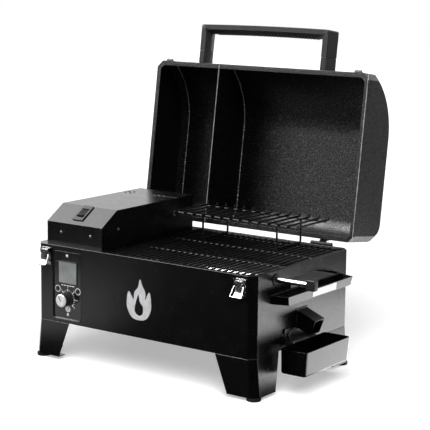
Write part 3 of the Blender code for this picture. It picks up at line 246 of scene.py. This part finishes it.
FINISHES = {
    "black_paint": make_finish(
        "black_paint_look", (0.0006, 0.0006, 0.0007), (0.0014, 0.0014, 0.0015), (0.24, 0.28),
        patch=14.0, grain=900.0, depth=0.00009),
    "lid_paint": make_finish(
        "lid_paint_look", (0.0008, 0.0008, 0.0009), (0.009, 0.009, 0.009), (0.36, 0.46), patch=14.0,
        grain=520.0, depth=0.0004, cells=True, flecks=430.0),
    "panel_film": make_finish(
        "panel_film_look", (0.006, 0.006, 0.006), (0.010, 0.010, 0.010), (0.12, 0.18), patch=20.0,
        grain=1600.0, depth=0.00002),
    "black_plastic": make_finish(
        "black_plastic_look", (0.008, 0.008, 0.008), (0.014, 0.014, 0.014), (0.38, 0.48),
        grain=1400.0, depth=0.00008, specular=0.28),
    "black_rubber": make_finish(
        "black_rubber_look", (0.006, 0.006, 0.006), (0.012, 0.012, 0.012), (0.70, 0.85),
        grain=900.0, depth=0.00012, specular=0.15),
    "dark_steel": make_finish(
        "dark_steel_look", (0.22, 0.22, 0.23), (0.36, 0.35, 0.35), (0.30, 0.48), 1.0, grain=260.0,
        depth=0.00004, stretch=(0.15, 1, 1)),
    "chrome": make_finish(
        "chrome_look", (0.44, 0.44, 0.46), (0.62, 0.62, 0.63), (0.16, 0.28), 1.0, patch=120.0,
        grain=240.0, depth=0.00004),
    "silver_paint": make_finish(
        "silver_paint_look", (0.60, 0.60, 0.61), (0.74, 0.74, 0.75), (0.28, 0.40), 0.45, patch=90.0,
        grain=1600.0, depth=0.00004),
    "black_enamel": make_finish(
        "black_enamel_look", (0.001, 0.001, 0.001), (0.003, 0.003, 0.003), (0.38, 0.48), patch=90.0,
        grain=420.0, depth=0.00020, specular=0.22),
    # Light grey colour of the painted highlight along two lid edges, not bare metal
    "painted_highlight": make_finish(
        "painted_highlight_look", (0.24, 0.24, 0.24), (0.55, 0.55, 0.54), (0.35, 0.50), 0.2, patch=60.0,
        grain=900.0, depth=0.00005),
    "display_glass": make_finish(
        "display_glass_look", (0.15, 0.16, 0.16), (0.21, 0.22, 0.22), (0.05, 0.09), patch=25.0,
        grain=1500.0, depth=0.00002),
    "white_print": make_finish(
        "white_print_look", (0.74, 0.74, 0.74), (0.88, 0.88, 0.88), (0.35, 0.50), grain=1800.0,
        depth=0.00003),
    "sealant": make_finish(
        "sealant_look", (0.12, 0.12, 0.12), (0.32, 0.32, 0.31), (0.30, 0.55), patch=200.0,
        grain=700.0, depth=0.00030),
}

NODE_FINISH = {
    "lid_paint": ("lid_shell", "lid_partition"),
    "panel_film": ("control_bezel",),
    "black_plastic": ("switch_bezel", "auger_motor", "fan_housing", "broiler_knob", "controller_box",
                      "button_left", "button_right", "power_inlet", "rod_grommet",
                      "handle_grip", "handle_post_left", "handle_post_right"),
    "black_rubber": ("foot_front_left", "foot_front_right", "foot_rear_left", "foot_rear_right",
                     "power_rocker"),
    "dark_steel": ("hopper_bin", "auger_tube", "auger_screw", "fan_impeller", "burn_pot", "igniter",
                   "broiler_plate", "grease_tray", "temperature_probe"),
    "chrome": ("broiler_slider", "latch_base_left", "latch_base_right", "latch_lever_left",
               "latch_lever_right", "latch_bail_left", "latch_bail_right"),
    "silver_paint": ("temperature_dial", "probe_jack"),
    "black_enamel": ("cooking_grate", "warming_rack", "hinge_leaf_left", "hinge_leaf_right",
                     "lid_hinge_leaf_left", "lid_hinge_leaf_right"),
    "display_glass": ("display_lens",),
}


def dress_nodes():
    """Give every CAD node its finish and a small round on its edges."""
    chosen = {node: slot for slot, nodes in NODE_FINISH.items() for node in nodes}
    for name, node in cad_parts.items():
        slot = chosen.get(name, "black_paint")
        node.data.materials.clear()
        node.data.materials.append(FINISHES[slot])
        node.data.shade_smooth()
        custom = node.data.attributes.get("custom_normal")
        if custom:
            node.data.attributes.remove(custom)
        weld = node.modifiers.new("weld", "WELD")
        weld.merge_threshold = 0.00005
        round_edges(node, 0.0006)


def round_edges(part, width):
    """Round sharp edges so that they catch the light."""
    bevel = part.modifiers.new("edge_round", "BEVEL")
    bevel.width = width
    bevel.segments = 2
    bevel.limit_method = "ANGLE"
    bevel.angle_limit = math.radians(35)
    bevel.miter_outer = "MITER_ARC"
    weighted = part.modifiers.new("face_normals", "WEIGHTED_NORMAL")
    weighted.keep_sharp = True


# ---------------------------------------------------------------- mesh helpers

def add_piece(name, mesh, slot, body, place=BODY, replaces=(), smooth_angle=40):
    """Turn a bmesh drawn in grill coordinates into a piece that rides on a body."""
    mesh.transform(place)
    bmesh.ops.recalc_face_normals(mesh, faces=mesh.faces)
    data = bpy.data.meshes.new(name)
    mesh.to_mesh(data)
    mesh.free()
    data.shade_smooth()
    data.set_sharp_from_angle(angle=math.radians(smooth_angle))
    data.materials.append(FINISHES[slot])
    part = bpy.data.objects.new(name, data)
    bpy.context.scene.collection.objects.link(part)
    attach(part, body)
    if replaces:
        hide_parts(*replaces)
    return part


def add_loft(mesh, loops, closed=False):
    """Bridge loops of equal length; cap both ends, or join the last loop to the first."""
    rows = [[mesh.verts.new(point) for point in loop] for loop in loops]
    if closed:
        rows.append(rows[0])
    for lower, upper in zip(rows, rows[1:]):
        for index, corner in enumerate(lower):
            follower = (index + 1) % len(lower)
            mesh.faces.new((corner, lower[follower], upper[follower], upper[index]))
    if not closed:
        mesh.faces.new(reversed(rows[0]))
        mesh.faces.new(rows[-1])


def add_tube(mesh, path, radius, sides=8, closed=False):
    """Sweep a circle along a path of points."""
    points = [Vector(point) for point in path]
    count = len(points)
    side = None
    loops = []
    for index, point in enumerate(points):
        before = points[index - 1] if index or closed else point
        after = points[(index + 1) % count] if index + 1 < count or closed else point
        along = (after - before).normalized()
        if side is None:
            side = along.orthogonal().normalized()
        side = (side - along * side.dot(along)).normalized()
        up = along.cross(side)
        loops.append([point + (side * math.cos(turn) + up * math.sin(turn)) * radius
                      for turn in (2 * math.pi * step / sides for step in range(sides))])
    add_loft(mesh, loops, closed)


def add_turned(mesh, place, profile, sides=24, flutes=0, flute_depth=0.0):
    """Turn (radius, height) pairs about the place's Z axis; flutes press grooves into the side."""
    loops = []
    for radius, height in profile:
        loop = []
        for step in range(sides):
            angle = 2 * math.pi * step / sides
            groove = flute_depth * (0.5 + 0.5 * math.cos(angle * flutes)) if flutes else 0.0
            reach = radius - groove
            loop.append(place @ Vector((reach * math.cos(angle), reach * math.sin(angle), height)))
        loops.append(loop)
    add_loft(mesh, loops)


def add_block(mesh, low, high, round_by=0.0004):
    """Add a block with chamfered long edges."""
    loops = []
    for inset, z in ((round_by, low[2]), (0, low[2] + round_by),
                     (0, high[2] - round_by), (round_by, high[2])):
        loops.append([(low[0] + inset, low[1] + inset, z), (high[0] - inset, low[1] + inset, z),
                      (high[0] - inset, high[1] - inset, z), (low[0] + inset, high[1] - inset, z)])
    add_loft(mesh, loops)


def rounded_path(points, radius, steps=4):
    """Round the inner corners of a polyline."""
    corners = [Vector(point) for point in points]
    path = [corners[0]]
    for before, corner, after in zip(corners, corners[1:], corners[2:]):
        start = corner + (before - corner).normalized() * radius
        end = corner + (after - corner).normalized() * radius
        for step in range(steps + 1):
            share = step / steps
            path.append(start * (1 - share) ** 2 + corner * 2 * share * (1 - share) + end * share ** 2)
    path.append(corners[-1])
    return path


def on_face(facing, x, y, z):
    """Return the place of a small fitting on a face, its Z axis pointing outwards."""
    return Matrix.Translation((x, y, z)) @ FACING[facing]


def add_screw(mesh, place, radius=0.0025):
    """Add a pan head with a round recess, on its washer."""
    add_turned(mesh, place, [(radius * 1.35, 0), (radius * 1.35, 0.0005), (radius * 1.05, 0.0006),
                             (radius, 0.0009), (radius * 0.92, 0.0017), (radius * 0.6, 0.0022),
                             (radius * 0.30, 0.0023), (radius * 0.22, 0.0015)], 16)


def add_rivet(mesh, place, radius=0.0032):
    """Add a domed rivet head."""
    add_turned(mesh, place, [(radius, 0), (radius, 0.0003), (radius * 0.85, 0.0009), (radius * 0.5, 0.0013),
                             (radius * 0.15, 0.0014)], 14)


# ---------------------------------------------------------------- lid

def lid_outline(inset):
    """Return the closed lid's side profile as (y, z), from its front edge to its back edge."""
    front_y = -HALF_DEPTH + inset
    radius = LID_FRONT_RADIUS - inset
    centre_z = LID_SEAT + LID_TOP - LID_FRONT_RADIUS
    start = math.asin((LID_FRONT_CENTRE - front_y) / radius)
    points = [(front_y, LID_SEAT)]
    for step in range(13):
        angle = start * (1 - step / 12)
        points.append((LID_FRONT_CENTRE - radius * math.sin(angle), centre_z + radius * math.cos(angle)))
    rear_radius = LID_REAR_RADIUS - inset
    for step in range(9):
        angle = math.pi / 2 * step / 8
        points.append((HALF_DEPTH - LID_REAR_RADIUS + rear_radius * math.sin(angle),
                       LID_SEAT + LID_TOP - LID_REAR_RADIUS + rear_radius * math.cos(angle)))
    points.append((HALF_DEPTH - inset, LID_SEAT))
    return points


def walk(points, pitch):
    """Return points at an even pitch along a polyline."""
    spots = []
    left = pitch / 2
    for start, end in zip(points, points[1:]):
        length = (end - start).length
        while left < length:
            spots.append(start + (end - start) * left / length)
            left += pitch
        left -= length
    return spots


def seam_line(x, inset):
    """Return the lid's profile as a line of points at one X."""
    return [Vector((x, y, z)) for y, z in lid_outline(inset)]


def build_seam(name, x, inset, seed):
    """Ragged line of sealant blobs along an inside seam of the lid, clear of the skin's outside."""
    dice = random.Random(seed)
    mesh = bmesh.new()
    for spot in walk(seam_line(x, inset + BEAD_LIFT), BEAD_PITCH):
        size = dice.uniform(BEAD_SMALLEST, BEAD_LARGEST)
        shift = Vector((dice.uniform(0.0, 3 * BEAD_STRAY), dice.uniform(-BEAD_STRAY, BEAD_STRAY),
                        dice.uniform(-BEAD_STRAY, BEAD_STRAY)))
        stretched = Matrix.Diagonal((1.0, dice.uniform(0.8, 1.3), dice.uniform(0.8, 1.3), 1.0))
        place = Matrix.Translation(spot + shift) @ stretched
        bmesh.ops.create_icosphere(mesh, subdivisions=2, radius=size, matrix=place)
    thin = [point + Vector((dice.uniform(-0.0002, 0.0002), 0, 0))
            for point in walk(seam_line(x, inset), BEAD_PITCH / 2)]
    add_tube(mesh, thin, 0.0005, 6)
    add_piece(name, mesh, "sealant", "lid", LID, smooth_angle=80)


def build_worn_edges():
    """Painted highlight: light grey tubes along the partition's front edge and inside the right rim stand
    in for the light these edges catch.
    """
    for name, x, inset in (("partition_edge", PARTITION_X + 0.0006, 0.0024),
                           ("right_rim_edge", HALF_WIDTH - 0.0030, 0.0030)):
        mesh = bmesh.new()
        outline = lid_outline(inset)
        ends = [(x, outline[0][0], LID_SEAT), (x, outline[-1][0], LID_SEAT)]
        add_tube(mesh, ends, HIGHLIGHT_EDGE_RADIUS, 8)
        add_piece(name, mesh, "painted_highlight", "lid", LID)


def finger_point(angle, thickness):
    """Return a point of the handle's inner corner, for a bar of this thickness."""
    corner = 0.010
    return (HANDLE_HALF - HANDLE_POST - corner * (1 - math.cos(angle)),
            HANDLE_FRONT + thickness + corner * (1 - math.sin(angle)))


def handle_stations():
    """Return (outer, inner front, inner back) points around the handle's U."""
    outer_corner, reach = 0.005, HANDLE_HALF - HANDLE_POST - 0.010
    side = []
    for y in (HANDLE_SEAM, -0.262):
        inner = (HANDLE_HALF - HANDLE_POST, y)
        side.append(((HANDLE_HALF, y), inner, inner))
    for step in range(9):
        angle = math.pi / 2 * step / 8
        outer = (HANDLE_HALF - outer_corner * (1 - math.cos(angle)),
                 HANDLE_FRONT + outer_corner * (1 - math.sin(angle)))
        side.append((outer, finger_point(angle, HANDLE_BAR_FRONT), finger_point(angle, HANDLE_BAR_BACK)))
    bar = []
    steps = 8 * round(2 * reach / TOOTH_PITCH)
    for step in range(1, steps):
        x = reach * (1 - 2 * step / steps)
        bow = HANDLE_BOW * (1 - (x / reach) ** 2)
        wave = 0.5 + 0.5 * math.cos(2 * math.pi * x / TOOTH_PITCH)
        tooth = TOOTH_DEPTH * wave if abs(x) < TOOTHED_HALF else 0
        front = HANDLE_FRONT - bow
        bar.append(((x * (HANDLE_HALF - outer_corner) / reach, front), (x, front + HANDLE_BAR_FRONT),
                    (x, front + HANDLE_BAR_BACK + tooth)))
    mirrored = [tuple((-x, y) for x, y in station) for station in reversed(side)]
    return side + bar + mirrored


def build_handle():
    """Moulded U grip: its finger side leans, carries teeth and slants away at the back."""
    front, back = 1, 2
    section = ((0.08, 0.0060, front), (0.92, 0.0060, front), (1.0, 0.0072, front), (1.0, 0.0225, back),
               (1.0, 0.0315, back), (0.97, 0.0335, back), (0.60, 0.0540, back), (0.56, 0.0550, back),
               (0.08, 0.0550, back), (0.0, 0.0538, back), (0.0, 0.0072, front))
    loops = []
    for station in handle_stations():
        outer = Vector(station[0])
        loop = []
        for share, up, edge in section:
            spot = outer.lerp(Vector(station[edge]), share)
            loop.append((spot.x, spot.y, LID_SEAT + up))
        loops.append(loop)
    mesh = bmesh.new()
    add_loft(mesh, loops)
    add_piece("handle_moulding", mesh, "black_plastic", "lid", LID, ["handle_grip"], 35)


# ---------------------------------------------------------------- grate and rack

def build_grate():
    """Porcelain wire grate: a frame, bars along Y and two bars across, welded into their undersides."""
    wire = GRATE_WIRE
    low, high = GRATE_LOW, GRATE_HIGH
    z = high.z - wire
    mesh = bmesh.new()
    border = [(low.x + wire, low.y + wire, z), (high.x - GRATE_CORNER, low.y + wire, z),
              (high.x - wire, low.y + GRATE_CORNER, z), (high.x - wire, high.y - GRATE_CORNER, z),
              (high.x - GRATE_CORNER, high.y - wire, z), (low.x + wire, high.y - wire, z)]
    add_tube(mesh, border, wire, 10, closed=True)
    pitch = (high.x - low.x - 2 * wire) / (GRATE_BARS + 1)
    for bar in range(1, GRATE_BARS + 1):
        x = low.x + wire + pitch * bar
        overlap = max(0.0, x - (high.x - GRATE_CORNER))
        add_tube(mesh, [(x, low.y + wire + overlap, z), (x, high.y - wire - overlap, z)], wire * 0.92, 10)
    cross_z = z - wire * 0.55
    for y in (-CROSS_BAR_Y, CROSS_BAR_Y):
        add_tube(mesh, [(low.x + wire, y, cross_z), (high.x - wire, y, cross_z)], wire * 0.9, 10)
    add_piece("cooking_grate_wires", mesh, "black_enamel", "grate", BODY, ["cooking_grate"], 50)


def build_rack():
    """Warming rack: bars along Y whose back ends turn up, two rods across and two looped legs."""
    mesh = bmesh.new()
    for y in (RACK_FRONT + 0.012, RACK_BACK - 0.012):
        add_tube(mesh, [(RACK_LEFT, y, RACK_Z - 0.003), (RACK_RIGHT, y, RACK_Z - 0.003)], RACK_WIRE, 10)
    pitch = (RACK_RIGHT - RACK_LEFT) / (RACK_BARS - 1)
    for bar in range(RACK_BARS):
        x = RACK_LEFT + pitch * bar
        bend = [(x, RACK_FRONT, RACK_Z - 0.006), (x, RACK_FRONT, RACK_Z), (x, RACK_BACK, RACK_Z),
                (x, RACK_BACK, RACK_Z + 0.008)]
        add_tube(mesh, rounded_path(bend, 0.004), RACK_WIRE * 0.9, 10)
    for x in RACK_LEG_X:
        front, back = RACK_LEG_Y
        foot, top = 0.0022, RACK_Z - 0.002
        leg = [(x, front, top), (x, front, foot), (x, back, foot), (x, back, top)]
        add_tube(mesh, rounded_path(leg, 0.006), RACK_WIRE, 10)
    add_piece("warming_rack_wires", mesh, "black_enamel", "rack", BODY, ["warming_rack"], 50)


# ---------------------------------------------------------------- control panel

def build_dial():
    """Fluted black knob and its silver cap with a dark pointer."""
    place = on_face("front", PANEL_X, PANEL_FLOOR, DIAL_Z)
    mesh = bmesh.new()
    add_turned(mesh, place, [(DIAL_RADIUS, 0.0010), (DIAL_RADIUS, 0.0040), (0.0166, 0.0048)], 48)
    add_turned(mesh, place, [(0.0166, 0.0044), (0.0164, 0.0232), (0.0158, 0.0242)], 120, 24, 0.0008)
    add_piece("dial_knob", mesh, "black_plastic", "dial", BODY, ["temperature_dial"], 35)
    cap = bmesh.new()
    add_turned(cap, place, [(0.0156, 0.0236), (0.0156, 0.0256), (0.0148, DIAL_REACH - 0.0006),
                            (0.0125, DIAL_REACH), (0.0060, DIAL_REACH), (0.0012, DIAL_REACH)], 48)
    add_piece("dial_cap", cap, "silver_paint", "dial", BODY, smooth_angle=35)
    mark = bmesh.new()
    pointer = place @ Matrix.Rotation(math.radians(120), 4, "Z")
    add_block(mark, (-0.0020, -0.0011, DIAL_REACH - 0.0006), (0.0118, 0.0011, DIAL_REACH + 0.0003), 0.0002)
    mark.transform(pointer)
    add_piece("dial_pointer", mark, "black_plastic", "dial")


def build_dial_scale():
    """Printed ticks, numbers and rings around the dial, buttons and probe socket."""
    place = on_face("front", PANEL_X, PANEL_FLOOR, DIAL_Z)
    mesh = bmesh.new()
    for tick in range(19):
        turn = place @ Matrix.Rotation(math.radians(225 - 15 * tick), 4, "Z")
        reach, half = (0.0225, 0.0004) if tick % 3 else (0.0250, 0.0009)
        corners = ((0.0188, -half), (reach, -half), (reach, half), (0.0188, half))
        add_loft(mesh, [[turn @ Vector((x, y, z)) for x, y in corners] for z in (PRINT_LOW, PRINT_HIGH)])
    for dash in range(5):
        x = PANEL_X + 0.0085 * (dash - 2)
        half_x, half_z = DASH_HALF
        corners = ((-half_x, -half_z), (half_x, -half_z), (half_x, half_z), (-half_x, half_z))
        loops = [[(x + across, PANEL_FLOOR - out, DASH_Z + up) for across, up in corners]
                 for out in (PRINT_LOW, PRINT_HIGH)]
        add_loft(mesh, loops)
    for x, z, inner in ((-0.2535, -0.106, 0.0068), (-0.1900, -0.106, 0.0068), (PANEL_X, -0.153, 0.0062)):
        add_ring(mesh, on_face("front", x, PANEL_FLOOR - PRINT_LOW, z), inner, inner + 0.0014, PRINT_HIGH)
    add_piece("panel_print", mesh, "white_print", "firebox")
    for number in range(1, 8):
        angle = math.radians(225 - 45 * (number - 1))
        spot = place @ Matrix.Translation((0.0288 * math.cos(angle), 0.0288 * math.sin(angle), PRINT_LOW))
        print_digit(f"dial_number_{number}", str(number), spot, 0.0062)


def print_digit(name, digit, place, size):
    """Raise one printed digit on the panel."""
    curve = bpy.data.curves.new(name, "FONT")
    curve.body = digit
    curve.size = size
    curve.align_x = "CENTER"
    curve.align_y = "CENTER"
    curve.extrude = 0.0001
    text = bpy.data.objects.new(name + "_text", curve)
    bpy.context.scene.collection.objects.link(text)
    bpy.context.view_layer.update()
    data = bpy.data.meshes.new_from_object(text.evaluated_get(bpy.context.evaluated_depsgraph_get()))
    bpy.data.objects.remove(text)
    mesh = bmesh.new()
    mesh.from_mesh(data)
    mesh.transform(place @ Matrix.Translation((0, 0, 0.0001)))
    add_piece(name, mesh, "white_print", "firebox")


def build_panel_trim():
    """Raised frame around the display and the two panel screws."""
    mesh = bmesh.new()
    half_x, half_z, band = 0.0300, 0.0280, 0.0022
    for outer_low, outer_high in (((-half_x, -half_z), (half_x, -half_z + band)),
                                  ((-half_x, half_z - band), (half_x, half_z)),
                                  ((-half_x, -half_z + band), (-half_x + band, half_z - band)),
                                  ((half_x - band, -half_z + band), (half_x, half_z - band))):
        add_block(mesh, (PANEL_X + outer_low[0], PANEL_FLOOR - 0.0014, DISPLAY_Z + outer_low[1]),
                  (PANEL_X + outer_high[0], PANEL_FLOOR - 0.0001, DISPLAY_Z + outer_high[1]), 0.0003)
    add_piece("panel_trim", mesh, "black_plastic", "firebox")
    screws = bmesh.new()
    for x, z in ((-0.2234, -0.0224), (-0.2215, -0.1670)):
        add_screw(screws, on_face("front", x, PANEL_FLOOR, z), 0.0028)
    add_piece("panel_screws", screws, "silver_paint", "firebox")


def add_ring(mesh, place, inner, outer, height, sides=32):
    """Add a flat ring."""
    loops = []
    for radius, level in ((inner, 0.0), (outer, 0.0), (outer, height), (inner, height)):
        loops.append([place @ Vector((radius * math.cos(2 * math.pi * step / sides),
                                      radius * math.sin(2 * math.pi * step / sides), level))
                      for step in range(sides)])
    add_loft(mesh, loops, closed=True)


# ---------------------------------------------------------------- emblem, label and fasteners

def smooth_loop(points, steps=6):
    """Return a closed curve through points."""
    count = len(points)
    curve = []
    for index in range(count):
        before, start, end, after = (Vector(points[(index + shift) % count]) for shift in (-1, 0, 1, 2))
        for step in range(steps):
            t = step / steps
            bend = 2 * before - 5 * start + 4 * end - after
            twist = 3 * start - before - 3 * end + after
            curve.append(0.5 * ((2 * start) + (end - before) * t + bend * t ** 2 + twist * t ** 3))
    return curve


def build_emblem():
    """Plain silver flame of three tongues on the front wall."""
    flame = ((0.0, -0.50), (0.25, -0.46), (0.41, -0.31), (0.47, -0.10), (0.40, 0.22), (0.25, 0.02),
             (0.24, 0.20), (0.13, 0.35), (0.04, 0.50), (-0.03, 0.31), (-0.17, 0.17), (-0.21, -0.02),
             (-0.40, 0.17), (-0.47, -0.12), (-0.40, -0.32), (-0.25, -0.46))
    heart = ((0.0, -0.40), (-0.15, -0.33), (-0.16, -0.18), (-0.02, 0.14), (0.04, -0.04), (0.16, -0.16),
             (0.15, -0.33))
    curve = bpy.data.curves.new("flame", "CURVE")
    curve.dimensions = "2D"
    curve.fill_mode = "BOTH"
    curve.extrude = 0.0006
    curve.bevel_depth = 0.0003
    for outline in (flame, heart):
        points = smooth_loop([Vector((x * EMBLEM_SIZE[0], y * EMBLEM_SIZE[1], 0)) for x, y in outline])
        spline = curve.splines.new("POLY")
        spline.points.add(len(points) - 1)
        spline.use_cyclic_u = True
        for point, place in zip(spline.points, points):
            point.co = (*place, 1.0)
    shape = bpy.data.objects.new("flame", curve)
    bpy.context.scene.collection.objects.link(shape)
    bpy.context.view_layer.update()
    data = bpy.data.meshes.new_from_object(shape.evaluated_get(bpy.context.evaluated_depsgraph_get()))
    bpy.data.objects.remove(shape)
    mesh = bmesh.new()
    mesh.from_mesh(data)
    mesh.transform(on_face("front", 0.0, -HALF_DEPTH - 0.0010, EMBLEM_Z))
    add_piece("flame_emblem", mesh, "silver_paint", "firebox", smooth_angle=30)


def build_label():
    """Plain white plate on the outer wall of the exhaust scoop."""
    mesh = bmesh.new()
    top, low = -0.0545, -0.0710
    lean = 0.0025 / 0.0205
    outer = HALF_WIDTH + SCOOP_REACH
    loops = []
    for out in (0.0001, 0.0006):
        corners = ((LABEL_Y[0], low), (LABEL_Y[1], low), (LABEL_Y[1], top), (LABEL_Y[0], top))
        loops.append([(outer - lean * (-0.0525 - z) + out, y, z) for y, z in corners])
    add_loft(mesh, loops)
    label = add_piece("scoop_label", mesh, "white_print", "firebox")
    round_edges(label, 0.0002)


def build_fasteners():
    """Screw and rivet heads of the housing, latches, hinges and fittings."""
    screws = bmesh.new()
    for x in (-0.255, -0.163):
        add_screw(screws, on_face("front", x, HOUSING_FRONT, 0.030))
    for y, z in ((-0.125, 0.043), (0.097, 0.047)):
        add_screw(screws, on_face("right", HOUSING_RIGHT, y, z))
    for x in (-0.300, -0.260):
        add_screw(screws, on_face("back", x, HALF_DEPTH + 0.003, -0.158), 0.0020)
    add_piece("housing_screws", screws, "dark_steel", "firebox")
    for name, body, shift in (("hopper_lid_rivets", "hopper_lid", -0.008),
                              ("hinge_rivets", "firebox", 0.008)):
        rivets = bmesh.new()
        for x in (-0.278, -0.181):
            for side in (-0.008, 0.008):
                add_rivet(rivets, on_face("up", x + side, HOPPER_SEAM_Y + shift, HOUSING_TOP))
        add_piece(name, rivets, "black_plastic", body)
    for side, name in ((-1, "left"), (1, "right")):
        add_latch_rivets(side, name)
        add_hinge_screws(side, name)


def add_latch_rivets(side, name):
    """Rivet heads on one latch base."""
    rivets = bmesh.new()
    for x in (-0.007, 0.007):
        add_rivet(rivets, on_face("front", side * LATCH_X + x, -HALF_DEPTH - 0.0015, -0.0455), 0.0019)
    add_piece(f"latch_rivets_{name}", rivets, "chrome", "firebox")


def add_hinge_screws(side, name):
    """Screws through both leaves of one lid hinge."""
    for body, height in (("firebox", -0.0205), ("lid", 0.0205)):
        screws = bmesh.new()
        spots = (-0.020, 0.020) if body == "firebox" else (-0.005, 0.005)
        for x in spots:
            add_screw(screws, on_face("back", side * 0.233 + x, HALF_DEPTH + 0.0023, height), 0.0024)
        add_piece(f"hinge_screws_{body}_{name}", screws, "dark_steel", body, LID if body == "lid" else BODY)


# ---------------------------------------------------------------- floor, light and camera

def build_floor():
    """Wide pale floor."""
    bpy.ops.mesh.primitive_plane_add(size=FLOOR_SIZE)
    floor = bpy.context.object
    floor.name = "studio_floor"
    material = bpy.data.materials.new("floor_paint")
    material.use_nodes = True
    shader = material.node_tree.nodes["Principled BSDF"]
    shader.inputs["Base Color"].default_value = (0.85, 0.85, 0.85, 1.0)
    shader.inputs["Roughness"].default_value = 0.9
    shader.inputs["Specular IOR Level"].default_value = 0.2
    shader.inputs["Emission Color"].default_value = (1.0, 1.0, 1.0, 1.0)
    shader.inputs["Emission Strength"].default_value = FLOOR_GLOW
    floor.data.materials.append(material)
    floor.visible_glossy = False


def lobe(tree, direction, toward, inner, outer, strength):
    """Return the brightness of a soft light in one direction of the studio."""
    dot = tree.nodes.new("ShaderNodeVectorMath")
    dot.operation = "DOT_PRODUCT"
    dot.inputs[1].default_value = Vector(toward).normalized()
    link(tree, direction, dot.inputs[0])
    node = tree.nodes.new("ShaderNodeMapRange")
    node.interpolation_type = "SMOOTHSTEP"
    node.inputs["From Min"].default_value = math.cos(math.radians(outer))
    node.inputs["From Max"].default_value = math.cos(math.radians(inner))
    node.inputs["To Max"].default_value = strength
    link(tree, dot.outputs["Value"], node.inputs["Value"])
    return node.outputs["Result"]


def light_studio():
    """Set a white backdrop for the camera and soft lights for everything else."""
    world = bpy.data.worlds.new("studio")
    bpy.context.scene.world = world
    world.use_nodes = True
    world.cycles_visibility.diffuse = False
    tree = world.node_tree
    tree.nodes.clear()
    place = tree.nodes.new("ShaderNodeTexCoord")
    total = None
    for toward, inner, outer, strength in STUDIO:
        value = lobe(tree, place.outputs["Generated"], toward, inner, outer, strength)
        add = tree.nodes.new("ShaderNodeMath")
        add.operation = "ADD"
        add.inputs[1].default_value = STUDIO_BASE
        if total:
            link(tree, total, add.inputs[1])
        link(tree, value, add.inputs[0])
        total = add.outputs["Value"]
    lights = tree.nodes.new("ShaderNodeBackground")
    link(tree, total, lights.inputs["Strength"])
    backdrop = tree.nodes.new("ShaderNodeBackground")
    backdrop.inputs["Strength"].default_value = 1.0
    backdrop.inputs["Color"].default_value = (1.0, 1.0, 1.0, 1.0)
    path = tree.nodes.new("ShaderNodeLightPath")
    mix = tree.nodes.new("ShaderNodeMixShader")
    link(tree, path.outputs["Is Camera Ray"], mix.inputs["Fac"])
    link(tree, lights.outputs["Background"], mix.inputs[1])
    link(tree, backdrop.outputs["Background"], mix.inputs[2])
    output = tree.nodes.new("ShaderNodeOutputWorld")
    link(tree, mix.outputs["Shader"], output.inputs["Surface"])


def add_floor_card(name, wall, toward, near, far, across, brightness):
    """Light a patch of the floor along a bearing, for reflections only."""
    bearing = Vector((*toward, 0.0)).normalized()
    spot = CENTRE + Vector((*wall, 0.0)) + bearing * (near + far) / 2
    lamp = bpy.data.lights.new(name, "AREA")
    lamp.shape = "RECTANGLE"
    lamp.size, lamp.size_y = far - near, across
    lamp.energy = brightness * math.pi * (far - near) * across
    card = bpy.data.objects.new(name, lamp)
    bpy.context.scene.collection.objects.link(card)
    card.location = (spot.x, spot.y, CARD_HEIGHT)
    card.rotation_euler = (math.pi, 0, math.atan2(bearing.y, bearing.x))
    card.visible_camera = False
    card.visible_diffuse = False


def add_overhead():
    """Add a wide soft light from above for everything that is not a reflection."""
    lamp = bpy.data.lights.new("overhead", "SUN")
    lamp.energy = OVERHEAD_STRENGTH
    lamp.angle = OVERHEAD_WIDTH
    light = bpy.data.objects.new("overhead", lamp)
    bpy.context.scene.collection.objects.link(light)
    light.rotation_euler = Vector(OVERHEAD_FROM).to_track_quat("Z", "Y").to_euler()
    light.visible_glossy = False


def set_lights():
    """Overhead light, and bright floor patches that the walls mirror."""
    add_overhead()
    for card in FLOOR_CARDS:
        add_floor_card(*card)


def set_camera():
    """Long lens at the height of a standing product shot, a little left of front right."""
    azimuth, elevation, roll = CAMERA_AZIMUTH, CAMERA_ELEVATION, CAMERA_ROLL
    back = Vector((math.sin(azimuth) * math.cos(elevation), -math.cos(azimuth) * math.cos(elevation),
                   math.sin(elevation)))
    right = Vector((math.cos(azimuth), math.sin(azimuth), 0))
    up = back.cross(right)
    tilted_right = right * math.cos(roll) + up * math.sin(roll)
    tilted_up = up * math.cos(roll) - right * math.sin(roll)
    lens = bpy.data.cameras.new("camera")
    lens.lens = CAMERA_LENS
    camera = bpy.data.objects.new("camera", lens)
    bpy.context.scene.collection.objects.link(camera)
    target = Vector((CENTRE.x, CENTRE.y, CAMERA_TARGET_Z))
    place = (target + back * CAMERA_DISTANCE + tilted_right * CAMERA_SHIFT_RIGHT
             - tilted_up * CAMERA_SHIFT_DOWN)
    axes = Matrix((tilted_right, tilted_up, back)).transposed().to_4x4()
    camera.matrix_world = Matrix.Translation(place) @ axes
    bpy.context.scene.camera = camera


def build_all():
    """Dress the frame and add its fine pieces, then set up the studio."""
    dress_nodes()
    build_seam("seam_bead_end", SKIN_LEFT, 0.0022, 3)
    build_seam("seam_bead_partition", PARTITION_X + 0.0008, 0.0024, 5)
    # Painted highlight along the partition's front edge and inside the right rim
    build_worn_edges()
    build_handle()
    build_grate()
    build_rack()
    build_dial()
    build_dial_scale()
    build_panel_trim()
    build_emblem()
    build_label()
    build_fasteners()
    build_floor()
    light_studio()
    set_lights()
    set_camera()
    bpy.context.scene.view_settings.view_transform = "Standard"


build_all()
